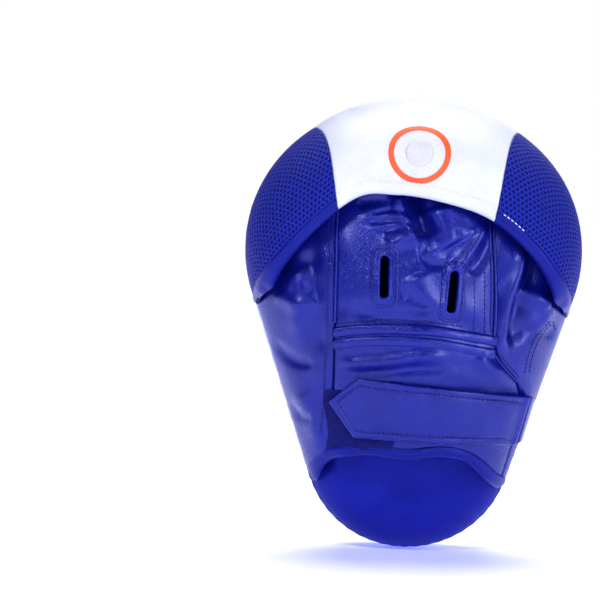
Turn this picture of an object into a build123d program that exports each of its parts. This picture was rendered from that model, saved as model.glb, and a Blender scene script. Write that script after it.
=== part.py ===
"""Left-hand focus mitt: a bent foam strike pad with a hooded glove and a wrist strap on its back.

Millimetres, +Z up from the palm heel to the finger tips, +X towards the thumb, -Y the glove side
and +Y the strike side. The lowest point of the heel is at Z = 0, the pad is symmetric about
X = 0, and the pad's back skin lies at Y = 0 in its flat middle. Depths are measured from that
skin, square to the bent pad.
"""

import math
import os

from build123d import *

# ---------------------------------------------------------------- strike pad
HEIGHT = 269.0
HALF_WIDTH = 100.0
HEEL_RADIUS = 62.0
SHOULDER_RADIUS = 84.0
WIDEST_Z = 180.0
PAD_DEPTH = 38.0

FLAT_LOW_Z = 85.0  # the pad is flat between these heights and bends forward beyond them
FLAT_HIGH_Z = 200.0
BEND_RADIUS = 300.0
BEND_REACH = 25.0  # degrees of bend that every cutter covers
WALL_LEAN = 0.26  # how far the pad's wall leans at its ends, to stay square to the bent face
EDGE_Y = 12.2  # where the back skin meets the wall at the ends of the pad

TRIM = 1.0  # piping and binding stand this far out of the gusset
SKIN = 1.5
GUSSET_SKIN = 2.0
CONTOUR_FOAM = 11.0
SHOCK_FOAM = 11.0
PIPING_WIDTH = 3.0
BINDING_WIDTH = 6.0

TARGET_Z = 155.0
TARGET_DISC = 27.0  # radii of the printed target
TARGET_RINGS = (45.5, 37.5)
RING_WIDTH = 2.4
PRINT = 0.3

# ---------------------------------------------------------------- heel cushion
HEEL_TOP_Z = 62.0
HEEL_SKIN = 1.4
HEEL_SECTIONS = [(16.0, 1.0), (3.0, 3.0), (-5.0, 13.0), (-9.0, 27.0)]  # Y, inset from the pear

# ---------------------------------------------------------------- hood
HOOD_SECTIONS = [(16.0, 0.0), (-14.0, 4.5), (-34.0, 17.0), (-47.7, 42.0)]  # Y, inset
HOOD_SKIN = 1.4
HOOD_FOAM = 6.0
HOOD_LINING = 1.0
HOOD_HEM = 6.0
HOOD_RIM = [(-101, 124), (-82, 164), (-40, 206.5), (-12, 211.5), (18, 207), (43, 198), (66, 179),
            (86, 152), (98, 122)]
RIM_CENTRE = (0.0, 80.0)  # the rim runs round this point, about this far from it
RIM_REACH = 130.0
HOOD_TRIM = 1.0
BADGE_CENTRE = (0.0, 236.0)
BADGE_RING = (19.0, 15.5)
BADGE_DISC = 8.0

# ---------------------------------------------------------------- glove
GLOVE_SECTIONS = [  # Z, half width, height over the pad's back
    (18.0, 51.0, 28.0),
    (60.0, 61.0, 34.0),
    (100.0, 72.5, 41.0),
    (150.0, 87.0, 45.0),
    (200.0, 84.0, 36.0),
    (240.0, 60.0, 22.0),
]
GLOVE_SKIN = 1.6
GLOVE_PADDING = 2.4
GLOVE_LINING = 0.8
FINGER_TOP_Z = 222.0
KNUCKLE_Z = 128.5
SIDE_X = 46.5
WELT_WIDTH = 6.8
WELT_HEIGHT = 2.0
CUFF_Z = 60.0  # lower edge of the glove in its middle
CUFF_ARC_RADIUS = 106.0
CUFF_BINDING = 4.5
CUFF_TRIM = 0.6
PALM_LINING = 1.2
VENTS = {"left": (-18.2, 164.6, 0.0, 16.3), "right": (21.3, 156.9, -4.0, 14.0)}  # X, Z, tilt, frame
VENT_WIDTH = 5.6
VENT_LENGTH = 25.0
FRAME_LENGTH = 35.6
FRAME_HEIGHT = 1.0

# ---------------------------------------------------------------- closure
LOOP_HEIGHT = 1.0
HOOK_GAP = 0.3
HOOK_HEIGHT = 0.9
STRAP_HEIGHT = 2.4
STRAP_END_GAP = 0.5
STRAP_OUTLINE = [(65.0, 95.9), (-31.4, 105.4), (-46.7, 91.0), (-32.0, 70.4), (58.0, 67.3)]

REACH = 140.0  # half length of every cutter
FAR_X = 150.0  # beside the whole mitt
ABOVE_Z = 300.0  # above its crown
HOOD_LOW_Z = 110.0  # under the tips of the hood


# ---------------------------------------------------------------- shared shapes
def pear(y, inset=0.0, drop=0.0):
    """Pear outline on the plane Y = y: heel arc, straight flanks, shoulder arcs and crown arc.

    inset shrinks it all round, and drop brings the heel and the crown together.
    """
    squeeze = (HEIGHT - 2 * drop) / HEIGHT
    heel, shoulder = HEEL_RADIUS * squeeze, SHOULDER_RADIUS * squeeze
    heel_z, shoulder_z = drop + heel, drop + WIDEST_Z * squeeze
    shoulder_x = HALF_WIDTH - shoulder
    rise = HEIGHT - drop - shoulder_z
    crown = (shoulder_x**2 + rise**2 - shoulder**2) / (2 * (rise - shoulder))
    crown_z = HEIGHT - drop - crown
    span = math.hypot(shoulder_x, shoulder_z - heel_z)
    lean = math.degrees(math.atan2(shoulder_x, shoulder_z - heel_z) + math.asin((shoulder - heel) / span))
    turn = math.degrees(math.atan2(shoulder_z - crown_z, shoulder_x))
    with BuildSketch(Plane.XZ.offset(-y)) as outline:
        with BuildLine():
            low = CenterArc((0, heel_z), heel - inset, lean - 180, 180 - 2 * lean)
            right = CenterArc((shoulder_x, shoulder_z), shoulder - inset, -lean, lean + turn)
            Line(low @ 1, right @ 0)
            CenterArc((0, crown_z), crown - inset, turn, 180 - 2 * turn)
            left = CenterArc((-shoulder_x, shoulder_z), shoulder - inset, 180 - turn, turn + lean)
            Line(left @ 1, low @ 0)
        make_face()
    return outline.sketch


def pad_blank(inset):
    """The pear as a block whose wall stays square to the bent pad."""
    return [pear(y, inset, WALL_LEAN * (y - EDGE_Y)) for y in (-2.0, 52.0)]


def layer(depth_from, depth_to):
    """Side profile of the bent pad between two depths."""
    with BuildSketch(Plane.YZ) as profile:
        with BuildLine():
            ends = []
            for depth in (depth_from, depth_to):
                radius = BEND_RADIUS - depth
                low = CenterArc((BEND_RADIUS, FLAT_LOW_Z), radius, 180, BEND_REACH)
                high = CenterArc((BEND_RADIUS, FLAT_HIGH_Z), radius, 180, -BEND_REACH)
                Line(low @ 0, high @ 0)
                ends.append((low @ 1, high @ 1))
            Line(ends[0][0], ends[1][0])
            Line(ends[0][1], ends[1][1])
        make_face()
    return profile.sketch


def keep(sketch):
    """Keep only what lies inside the sketch, seen square to it."""
    extrude(sketch, amount=REACH, both=True, mode=Mode.INTERSECT)


def pad_sheet(inset, depth_from, depth_to):
    """One bent sheet of the strike pad."""
    with BuildPart() as sheet:
        loft(pad_blank(inset), ruled=True)
        keep(layer(depth_from, depth_to))
    return sheet.part


def dome(sections, depth):
    """Pillow on the pad's back, its skin moved inwards by depth."""
    with BuildPart() as pillow:
        last = len(sections) - 1
        loft([
            pear(y + depth * place / last, inset + depth * (1 - 0.6 * place / last))
            for place, (y, inset) in enumerate(sections)
        ])
    return pillow.part


def tunnel(depth):
    """The glove's arch as a solid, its skin moved inwards by depth."""
    with BuildPart() as arch:
        for z, half_width, height in GLOVE_SECTIONS:
            with BuildSketch(Plane.XY.offset(z)):
                Ellipse(half_width - depth, height - depth)
        loft()
    return arch.part


def polygon(*points):
    """Closed outline seen from the front, in X and Z."""
    with BuildSketch(Plane.XZ) as outline:
        with BuildLine():
            Polyline(*points, close=True)
        make_face()
    return outline.sketch


BEHIND_PAD = layer(-90.0, 0.0)


def hood_region(hem=0.0):
    """Everything above the hood's rim, or above a line that is hem further out."""
    x0, z0 = RIM_CENTRE
    grow = 1 + hem / RIM_REACH
    points = [(x0 + (x - x0) * grow, z0 + (z - z0) * grow) for x, z in HOOD_RIM]
    with BuildSketch(Plane.XZ) as region:
        with BuildLine():
            rim = Spline(*points)
            right = Polyline(rim @ 1, (FAR_X, HOOD_LOW_Z), (FAR_X, ABOVE_Z))
            left = Polyline((-FAR_X, ABOVE_Z), (-FAR_X, HOOD_LOW_Z), rim @ 0)
            Line(right @ 1, left @ 0)
        make_face()
    return region.sketch


def centre_region():
    """The hood's centre panel, between its two seams."""
    with BuildSketch(Plane.XZ) as region:
        with BuildLine():
            right = ThreePointArc((42, 180), (48.5, 222), (66, 262))
            left = ThreePointArc((-42, 180), (-48.5, 222), (-66, 262))
            Line(right @ 0, left @ 0)
            Polyline(right @ 1, (FAR_X, ABOVE_Z), (-FAR_X, ABOVE_Z), left @ 1)
        make_face()
    return region.sketch


def cuff_region(rise=0.0):
    """Everything above the glove's lower edge, or above a line that is rise higher."""
    with BuildSketch(Plane.XZ) as region:
        with BuildLine():
            low = -CUFF_ARC_RADIUS + CUFF_Z
            edge = CenterArc((0, low), CUFF_ARC_RADIUS + rise, 30, 120)
            Polyline(edge @ 0, (FAR_X, 0), (FAR_X, ABOVE_Z), (-FAR_X, ABOVE_Z), (-FAR_X, 0), edge @ 1)
        make_face()
    return region.sketch


def slot(x, z, tilt, width, length, radius):
    """Rounded upright rectangle seen from the front."""
    with BuildSketch(Plane.XZ) as outline:
        with Locations(Location((x, z), tilt)):
            RectangleRounded(width, length, radius)
    return outline.sketch


def hood_layer(depth_from, depth_to, region, hem=0.0):
    """Part of the hood between two depths under its skin, within a region seen from the front."""
    with BuildPart() as shell:
        add(dome(HOOD_SECTIONS, depth_from))
        add(dome(HOOD_SECTIONS, depth_to), mode=Mode.SUBTRACT)
        keep(BEHIND_PAD)
        keep(hood_region(hem))
        keep(region)
    return shell.part


def glove_layer(depth_from, depth_to, region, rise=CUFF_BINDING):
    """Part of the glove between two depths under its skin, clear of the hood."""
    with BuildPart() as shell:
        add(tunnel(depth_from))
        add(tunnel(depth_to), mode=Mode.SUBTRACT)
        keep(BEHIND_PAD)
        keep(cuff_region(rise))
        keep(region)
        if region.bounding_box().max.Z > KNUCKLE_Z:
            add(HOOD_WALL, mode=Mode.SUBTRACT)
    return shell.part


EVERYWHERE = polygon((-FAR_X, -10), (FAR_X, -10), (FAR_X, ABOVE_Z), (-FAR_X, ABOVE_Z))
MESH_LEFT = polygon((-FAR_X, HOOD_LOW_Z), (0, HOOD_LOW_Z), (0, ABOVE_Z), (-FAR_X, ABOVE_Z))
MESH_RIGHT = polygon((0, HOOD_LOW_Z), (FAR_X, HOOD_LOW_Z), (FAR_X, ABOVE_Z), (0, ABOVE_Z))
HOOD_WALL = hood_layer(0.0, HOOD_SKIN + HOOD_FOAM + HOOD_LINING, EVERYWHERE)
LINING_DEPTH = GLOVE_SKIN + GLOVE_PADDING
CUFF_WALL = glove_layer(-CUFF_TRIM, LINING_DEPTH + GLOVE_LINING + CUFF_TRIM, EVERYWHERE, rise=0.0)


# ---------------------------------------------------------------- strike pad
with BuildPart() as back_cover:
    add(pad_sheet(TRIM, 0.0, SKIN))

with BuildPart() as contour_foam:
    add(pad_sheet(TRIM + GUSSET_SKIN, SKIN, SKIN + CONTOUR_FOAM))

with BuildPart() as shock_foam:
    add(pad_sheet(TRIM + GUSSET_SKIN, SKIN + CONTOUR_FOAM, SKIN + CONTOUR_FOAM + SHOCK_FOAM))

with BuildPart() as strike_foam:
    add(pad_sheet(TRIM + GUSSET_SKIN, SKIN + CONTOUR_FOAM + SHOCK_FOAM, PAD_DEPTH - SKIN))

with BuildPart() as face_cover:
    add(pad_sheet(TRIM, PAD_DEPTH - SKIN, PAD_DEPTH))

with BuildPart() as gusset:
    add(pad_sheet(TRIM, SKIN, PAD_DEPTH - SKIN))
    add(pad_sheet(TRIM + GUSSET_SKIN, SKIN, PAD_DEPTH - SKIN), mode=Mode.SUBTRACT)

with BuildPart() as face_piping:
    add(pad_sheet(0.0, PAD_DEPTH - SKIN - PIPING_WIDTH, PAD_DEPTH - SKIN))
    add(pad_sheet(TRIM, PAD_DEPTH - SKIN - PIPING_WIDTH, PAD_DEPTH - SKIN), mode=Mode.SUBTRACT)

with BuildPart() as back_edge_binding:
    add(pad_sheet(0.0, 0.0, BINDING_WIDTH))
    add(pad_sheet(TRIM, 0.0, BINDING_WIDTH), mode=Mode.SUBTRACT)

with BuildPart() as target_print:
    with BuildSketch(Plane.XZ.offset(-PAD_DEPTH)):
        with Locations((0, TARGET_Z)):
            for radius in TARGET_RINGS:
                Circle(radius)
                Circle(radius - RING_WIDTH, mode=Mode.SUBTRACT)
            Circle(TARGET_DISC)
    extrude(amount=-PRINT)

# ---------------------------------------------------------------- heel cushion
HEEL_REGION = polygon((-90, -10), (90, -10), (90, HEEL_TOP_Z), (-90, HEEL_TOP_Z))

with BuildPart() as heel_cover:
    add(dome(HEEL_SECTIONS, 0.0))
    add(dome(HEEL_SECTIONS, HEEL_SKIN), mode=Mode.SUBTRACT)
    keep(BEHIND_PAD)
    keep(HEEL_REGION)
    add(CUFF_WALL, mode=Mode.SUBTRACT)

with BuildPart() as heel_foam:
    add(dome(HEEL_SECTIONS, HEEL_SKIN))
    keep(BEHIND_PAD)
    keep(HEEL_REGION)
    add(CUFF_WALL, mode=Mode.SUBTRACT)

# ---------------------------------------------------------------- hood
with BuildPart() as hood_center_panel:
    add(hood_layer(0.0, HOOD_SKIN, centre_region()))

with BuildPart() as hood_mesh_left:
    add(hood_layer(0.0, HOOD_SKIN, MESH_LEFT))
    extrude(centre_region(), amount=REACH, both=True, mode=Mode.SUBTRACT)

with BuildPart() as hood_mesh_right:
    add(hood_layer(0.0, HOOD_SKIN, MESH_RIGHT))
    extrude(centre_region(), amount=REACH, both=True, mode=Mode.SUBTRACT)

with BuildPart() as hood_foam:
    add(hood_layer(HOOD_SKIN, HOOD_SKIN + HOOD_FOAM, EVERYWHERE))

with BuildPart() as hood_lining:
    add(hood_layer(HOOD_SKIN + HOOD_FOAM, HOOD_SKIN + HOOD_FOAM + HOOD_LINING, EVERYWHERE))


def hood_binding(side):
    """Smooth band sewn over the rim of one mesh panel."""
    with BuildSketch(Plane.XZ) as outline:
        add(side)
        add(centre_region(), mode=Mode.SUBTRACT)
        add(hood_region(HOOD_HEM), mode=Mode.SUBTRACT)
    return hood_layer(-HOOD_TRIM, 0.0, outline.sketch)


with BuildPart() as hood_binding_left:
    add(hood_binding(MESH_LEFT))

with BuildPart() as hood_binding_right:
    add(hood_binding(MESH_RIGHT))

with BuildSketch(Plane.XZ) as badge_outline:
    with Locations(BADGE_CENTRE):
        Circle(BADGE_RING[0])
        Circle(BADGE_RING[1], mode=Mode.SUBTRACT)
        Circle(BADGE_DISC)

with BuildPart() as hood_badge:
    add(hood_layer(-PRINT, 0.0, badge_outline.sketch))

# ---------------------------------------------------------------- glove
FINGER_REGION = polygon(
    (-SIDE_X, KNUCKLE_Z), (SIDE_X, KNUCKLE_Z), (SIDE_X, FINGER_TOP_Z), (-SIDE_X, FINGER_TOP_Z)
)
BACKHAND_REGION = polygon(
    (-SIDE_X, 20), (54, 20), (64, 88), (61, 104), (SIDE_X, 119), (SIDE_X, KNUCKLE_Z), (-SIDE_X, KNUCKLE_Z)
)
THUMB_REGION = polygon(
    (FAR_X, 88), (FAR_X, FINGER_TOP_Z), (SIDE_X, FINGER_TOP_Z), (SIDE_X, 119), (61, 104), (64, 88)
)
WRIST_SIDE_REGION = polygon((54, 20), (FAR_X, 20), (FAR_X, 88), (64, 88))
LITTLE_FINGER_REGION = polygon(
    (-FAR_X, 20), (-SIDE_X, 20), (-SIDE_X, FINGER_TOP_Z), (-FAR_X, FINGER_TOP_Z)
)
GLOVE_REGION = polygon((-FAR_X, 20), (FAR_X, 20), (FAR_X, FINGER_TOP_Z), (-FAR_X, FINGER_TOP_Z))
PADDED_REGION = polygon((-FAR_X, 20), (FAR_X, 20), (FAR_X, KNUCKLE_Z), (-FAR_X, KNUCKLE_Z))


def cut_vents():
    """Cut both vent slots through the part."""
    for x, z, tilt, _ in VENTS.values():
        outline = slot(x, z, tilt, VENT_WIDTH, VENT_LENGTH, VENT_WIDTH / 2 - 0.05)
        extrude(outline, amount=REACH, both=True, mode=Mode.SUBTRACT)


with BuildPart() as finger_panel:
    add(glove_layer(0.0, GLOVE_SKIN, FINGER_REGION))
    cut_vents()

with BuildPart() as thumb_panel:
    add(glove_layer(0.0, GLOVE_SKIN, THUMB_REGION))

with BuildPart() as little_finger_panel:
    add(glove_layer(0.0, GLOVE_SKIN, LITTLE_FINGER_REGION))

with BuildPart() as backhand_panel:
    add(glove_layer(0.0, GLOVE_SKIN, BACKHAND_REGION))

with BuildPart() as wrist_side_panel:
    add(glove_layer(0.0, GLOVE_SKIN, WRIST_SIDE_REGION))

with BuildPart() as backhand_foam:
    add(glove_layer(GLOVE_SKIN, LINING_DEPTH, PADDED_REGION))

with BuildPart() as glove_lining:
    add(glove_layer(GLOVE_SKIN, LINING_DEPTH + GLOVE_LINING, GLOVE_REGION))
    add(backhand_foam.part, mode=Mode.SUBTRACT)
    cut_vents()


def vent_frame(side):
    """Stitched leather frame round one vent slot."""
    x, z, tilt, width = VENTS[side]
    with BuildPart() as frame:
        add(glove_layer(-FRAME_HEIGHT, 0.0, slot(x, z, tilt, width, FRAME_LENGTH, width / 3)))
        cut_vents()
    return frame.part


with BuildPart() as vent_frame_left:
    add(vent_frame("left"))

with BuildPart() as vent_frame_right:
    add(vent_frame("right"))


def welt(top_z):
    """Rolled leather welt across the knuckles, its top edge at top_z."""
    low_z = top_z - WELT_WIDTH
    region = polygon((-SIDE_X, low_z), (SIDE_X, low_z), (SIDE_X, top_z), (-SIDE_X, top_z))
    return glove_layer(-WELT_HEIGHT, 0.0, region)


with BuildPart() as knuckle_welt_upper:
    add(welt(KNUCKLE_Z + WELT_WIDTH))

with BuildPart() as knuckle_welt_lower:
    add(welt(KNUCKLE_Z))

with BuildPart() as wrist_binding:
    add(glove_layer(-CUFF_TRIM, LINING_DEPTH + GLOVE_LINING + CUFF_TRIM, GLOVE_REGION, rise=0.0))
    extrude(cuff_region(CUFF_BINDING), amount=REACH, both=True, mode=Mode.SUBTRACT)

with BuildPart() as palm_lining:
    add(tunnel(LINING_DEPTH + GLOVE_LINING))
    keep(layer(-PALM_LINING, 0.0))
    keep(polygon(
        (-FAR_X, HEEL_TOP_Z), (FAR_X, HEEL_TOP_Z), (FAR_X, FINGER_TOP_Z), (-FAR_X, FINGER_TOP_Z)
    ))

# ---------------------------------------------------------------- closure
HOOK_DEPTH = LOOP_HEIGHT + HOOK_GAP
STRAP_DEPTH = HOOK_DEPTH + HOOK_HEIGHT

with BuildPart() as loop_panel:
    add(glove_layer(-LOOP_HEIGHT, 0.0, polygon((-SIDE_X, 66), (-8, 66), (-8, 99), (-SIDE_X, 99))))

with BuildPart() as strap_hook:
    outline = polygon((-14, 72), (-14, 99), (-33, 101), (-42, 90), (-33, 74))
    add(glove_layer(-STRAP_DEPTH, -HOOK_DEPTH, outline))

with BuildPart() as strap:
    add(glove_layer(-STRAP_DEPTH - STRAP_HEIGHT, -STRAP_DEPTH, polygon(*STRAP_OUTLINE)))

anchor_outline = polygon(
    (58.0 + STRAP_END_GAP, 67.3), (65.0 + STRAP_END_GAP, 95.9), (71, 94), (64.5, 68)
)
with BuildPart() as strap_anchor:
    add(glove_layer(-STRAP_DEPTH - STRAP_HEIGHT, 0.0, anchor_outline))

# ---------------------------------------------------------------- the mitt's nodes
PIECES = {
    "face_cover": face_cover, "target_print": target_print, "face_piping": face_piping,
    "gusset": gusset, "back_edge_binding": back_edge_binding, "strike_foam": strike_foam,
    "shock_foam": shock_foam, "contour_foam": contour_foam, "back_cover": back_cover,
    "heel_cover": heel_cover, "heel_foam": heel_foam, "palm_lining": palm_lining,
    "hood_center_panel": hood_center_panel, "hood_mesh_left": hood_mesh_left,
    "hood_mesh_right": hood_mesh_right, "hood_foam": hood_foam, "hood_lining": hood_lining,
    "hood_binding_left": hood_binding_left, "hood_binding_right": hood_binding_right,
    "hood_badge": hood_badge, "finger_panel": finger_panel, "thumb_panel": thumb_panel,
    "little_finger_panel": little_finger_panel, "backhand_panel": backhand_panel,
    "wrist_side_panel": wrist_side_panel, "backhand_foam": backhand_foam,
    "glove_lining": glove_lining, "vent_frame_left": vent_frame_left,
    "vent_frame_right": vent_frame_right, "knuckle_welt_upper": knuckle_welt_upper,
    "knuckle_welt_lower": knuckle_welt_lower, "wrist_binding": wrist_binding,
    "loop_panel": loop_panel, "strap": strap, "strap_hook": strap_hook,
    "strap_anchor": strap_anchor,
}

os.makedirs("parts", exist_ok=True)
for label, piece in PIECES.items():
    piece.part.label = label
    export_step(piece.part, f"parts/{label}.step")
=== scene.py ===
"""Looks of the left-hand focus mitt: leather pad, mesh-sided hood, glossy glove and strap.

Lengths are in millimetres until a mesh is written. X runs across the mitt with the thumb at +X,
Z up its length, and Y through it with the glove towards -Y.
"""

import math

import bpy
import numpy as np
from mathutils import Matrix, Vector
from mathutils.bvhtree import BVHTree


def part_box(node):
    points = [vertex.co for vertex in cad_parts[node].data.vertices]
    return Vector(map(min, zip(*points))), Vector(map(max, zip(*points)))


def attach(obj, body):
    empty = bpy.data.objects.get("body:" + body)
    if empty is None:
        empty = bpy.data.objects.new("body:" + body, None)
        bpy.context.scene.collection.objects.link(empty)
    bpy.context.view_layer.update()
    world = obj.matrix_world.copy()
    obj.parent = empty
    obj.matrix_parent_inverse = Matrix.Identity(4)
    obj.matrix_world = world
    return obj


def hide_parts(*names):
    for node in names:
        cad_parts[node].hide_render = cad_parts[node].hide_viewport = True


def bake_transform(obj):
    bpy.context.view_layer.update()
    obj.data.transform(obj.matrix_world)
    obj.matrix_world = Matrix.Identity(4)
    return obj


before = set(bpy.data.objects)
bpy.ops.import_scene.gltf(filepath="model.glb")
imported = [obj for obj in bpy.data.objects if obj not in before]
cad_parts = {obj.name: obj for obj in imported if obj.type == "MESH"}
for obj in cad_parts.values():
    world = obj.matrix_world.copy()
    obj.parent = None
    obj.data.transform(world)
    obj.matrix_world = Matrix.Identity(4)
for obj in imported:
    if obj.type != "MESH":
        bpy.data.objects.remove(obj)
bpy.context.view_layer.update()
MM = 0.001
RANDOM = np.random.default_rng(7)


def cad_box(node):
    """Lowest and highest corner of a CAD node, in millimetres."""
    low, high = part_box(node)
    return np.array(low) / MM, np.array(high) / MM


# ---------------------------------------------------------------- sizes
HALF_WIDTH, _, HEIGHT = cad_box("back_edge_binding")[1]
HEEL_RADIUS = 62.0
SHOULDER_RADIUS = 84.0
WIDEST_Z = 180.0
PAD_DEPTH = 38.0
FLAT_LOW_Z = 85.0
FLAT_HIGH_Z = 200.0
BEND_RADIUS = 300.0
TARGET_Z = 155.0
TARGET_RADII = ((0.0, 27.0), (35.1, 37.5), (43.1, 45.5))
GLOVE_ARCH = np.array([  # Z, half width, height over the pad's back
    (18.0, 51.0, 28.0), (60.0, 61.0, 34.0), (100.0, 72.5, 41.0), (150.0, 87.0, 45.0),
    (200.0, 84.0, 36.0), (240.0, 60.0, 22.0),
])
SIDE_X = 46.0
KNUCKLE_Z = 128.5
FINGER_TOP_Z = 221.0
HOOD_RIM = [(-101, 124), (-82, 164), (-40, 206.5), (-12, 211.5), (18, 207), (43, 198), (66, 179),
            (86, 152), (98, 122)]
RIM_CENTRE = np.array((0.0, 80.0))
HOOD_HEIGHT = 47.5
HOOD_SHOULDER = 45.0  # how far inside the pad's edge the hood reaches its full height
CUFF_EDGE = [(-58, 42.5), (-54.5, 51), (-49, 57), (-42, 59.6), (-23, 62), (-2, 60), (15.5, 62),
             (28, 61), (37, 57), (48, 47.5), (56, 42)]
CLOTH_FRAMES = 20
LEATHER = 1.6  # thickness of the glove's leather


# ---------------------------------------------------------------- curves
def smooth_curve(points, count):
    """Evenly spaced points on the Catmull-Rom curve through a few given points."""
    p = np.asarray(points, float)
    p = np.vstack([2 * p[0] - p[1], p, 2 * p[-1] - p[-2]])
    t = np.linspace(0, 1, 24, endpoint=False)[:, None]
    spans = []
    for a, b, c, d in zip(p, p[1:], p[2:], p[3:]):
        spans.append(0.5 * (2 * b + (c - a) * t + (2 * a - 5 * b + 4 * c - d) * t**2
                            + (3 * b - a - 3 * c + d) * t**3))
    spans.append(p[-2][None])
    return even(np.vstack(spans), count)


def distances(points):
    """Distance of every point of a polyline from its start, along it."""
    return np.concatenate([[0], np.cumsum(np.linalg.norm(np.diff(points, axis=0), axis=1))])


def even(points, count):
    """The polyline resampled to count evenly spaced points."""
    along = distances(points)
    at = np.linspace(0, along[-1], count)
    return np.stack([np.interp(at, along, points[:, k]) for k in range(points.shape[1])], 1)


def arc(centre, radius, start, end, count=60):
    """Points on a circle between two angles in degrees."""
    turn = np.radians(np.linspace(start, end, count))
    return np.stack([centre[0] + radius * np.cos(turn), centre[1] + radius * np.sin(turn)], 1)


def pear_outline():
    """Half of the pad's outline, from the heel up the thumb side to the crown."""
    shoulder_x = HALF_WIDTH - SHOULDER_RADIUS
    rise = HEIGHT - WIDEST_Z
    crown = (shoulder_x**2 + rise**2 - SHOULDER_RADIUS**2) / (2 * (rise - SHOULDER_RADIUS))
    crown_z = HEIGHT - crown
    span = math.hypot(shoulder_x, WIDEST_Z - HEEL_RADIUS)
    lean = math.degrees(math.atan2(shoulder_x, WIDEST_Z - HEEL_RADIUS)
                        + math.asin((SHOULDER_RADIUS - HEEL_RADIUS) / span))
    turn = math.degrees(math.atan2(WIDEST_Z - crown_z, shoulder_x))
    return np.vstack([
        arc((0, HEEL_RADIUS), HEEL_RADIUS, -90, -lean),
        arc((shoulder_x, WIDEST_Z), SHOULDER_RADIUS, -lean, turn),
        arc((0, crown_z), crown, turn, 90),
    ])


HALF_PEAR = pear_outline()
PEAR = np.vstack([HALF_PEAR, (HALF_PEAR * (-1, 1))[::-1][1:]])


def pear_loop(count, inset=0.0):
    """Closed loop of points round the pad, inset from its outline."""
    loop = even(PEAR, count + 1)[:-1]
    along = np.roll(loop, -1, 0) - np.roll(loop, 1, 0)
    along /= np.linalg.norm(along, axis=1)[:, None]
    outwards = np.stack([along[:, 1], -along[:, 0]], 1)
    return loop - outwards * inset


def arch_at(z):
    """Half width and height of the glove's arch at a height."""
    z = np.asarray(z, float)
    knots = GLOVE_ARCH[:, 0]
    slopes = np.gradient(GLOVE_ARCH[:, 1:], knots, axis=0)
    place = np.clip(np.searchsorted(knots, z) - 1, 0, len(knots) - 2)
    gap = knots[place + 1] - knots[place]
    t = np.clip((z - knots[place]) / gap, 0, 1)[..., None]
    gap = gap[..., None]
    low, high = GLOVE_ARCH[place, 1:], GLOVE_ARCH[place + 1, 1:]
    value = ((1 + 2 * t) * (1 - t) ** 2 * low + t * (1 - t) ** 2 * gap * slopes[place]
             + t**2 * (3 - 2 * t) * high + t**2 * (t - 1) * gap * slopes[place + 1])
    return value[..., 0], value[..., 1]


# ---------------------------------------------------------------- surfaces
def bend(x, z, depth):
    """Point of the bent pad, from its place on the back skin and its depth under it."""
    x, z, depth = np.broadcast_arrays(np.asarray(x, float), z, depth)
    off = np.clip(z - FLAT_HIGH_Z, 0, None) - np.clip(FLAT_LOW_Z - z, 0, None)
    sine = off / BEND_RADIUS
    y = BEND_RADIUS - (BEND_RADIUS - depth) * np.sqrt(1 - sine**2)
    return np.stack([x, y, z - off + (BEND_RADIUS - depth) * sine], -1)


def back_y(z):
    """Y of the pad's back skin at a height."""
    return bend(0, z, 0.0)[..., 1]


def to_line(x, z, points):
    """Signed distance to a given line, positive on its left, and the place along it."""
    line = smooth_curve(points, 60)
    best = np.full(np.shape(x), 1e9)
    side = np.zeros(np.shape(x))
    place = np.zeros(np.shape(x))
    for k in range(len(line) - 1):
        (x0, z0), (x1, z1) = line[k], line[k + 1]
        dx, dz = x1 - x0, z1 - z0
        t = np.clip(((x - x0) * dx + (z - z0) * dz) / (dx * dx + dz * dz), 0, 1)
        gap = np.hypot(x - x0 - t * dx, z - z0 - t * dz)
        nearer = gap < best
        best = np.where(nearer, gap, best)
        side = np.where(nearer, np.sign(dx * (z - z0) - dz * (x - x0)), side)
        place = np.where(nearer, (k + t) / (len(line) - 1), place)
    return best * side, place


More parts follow.
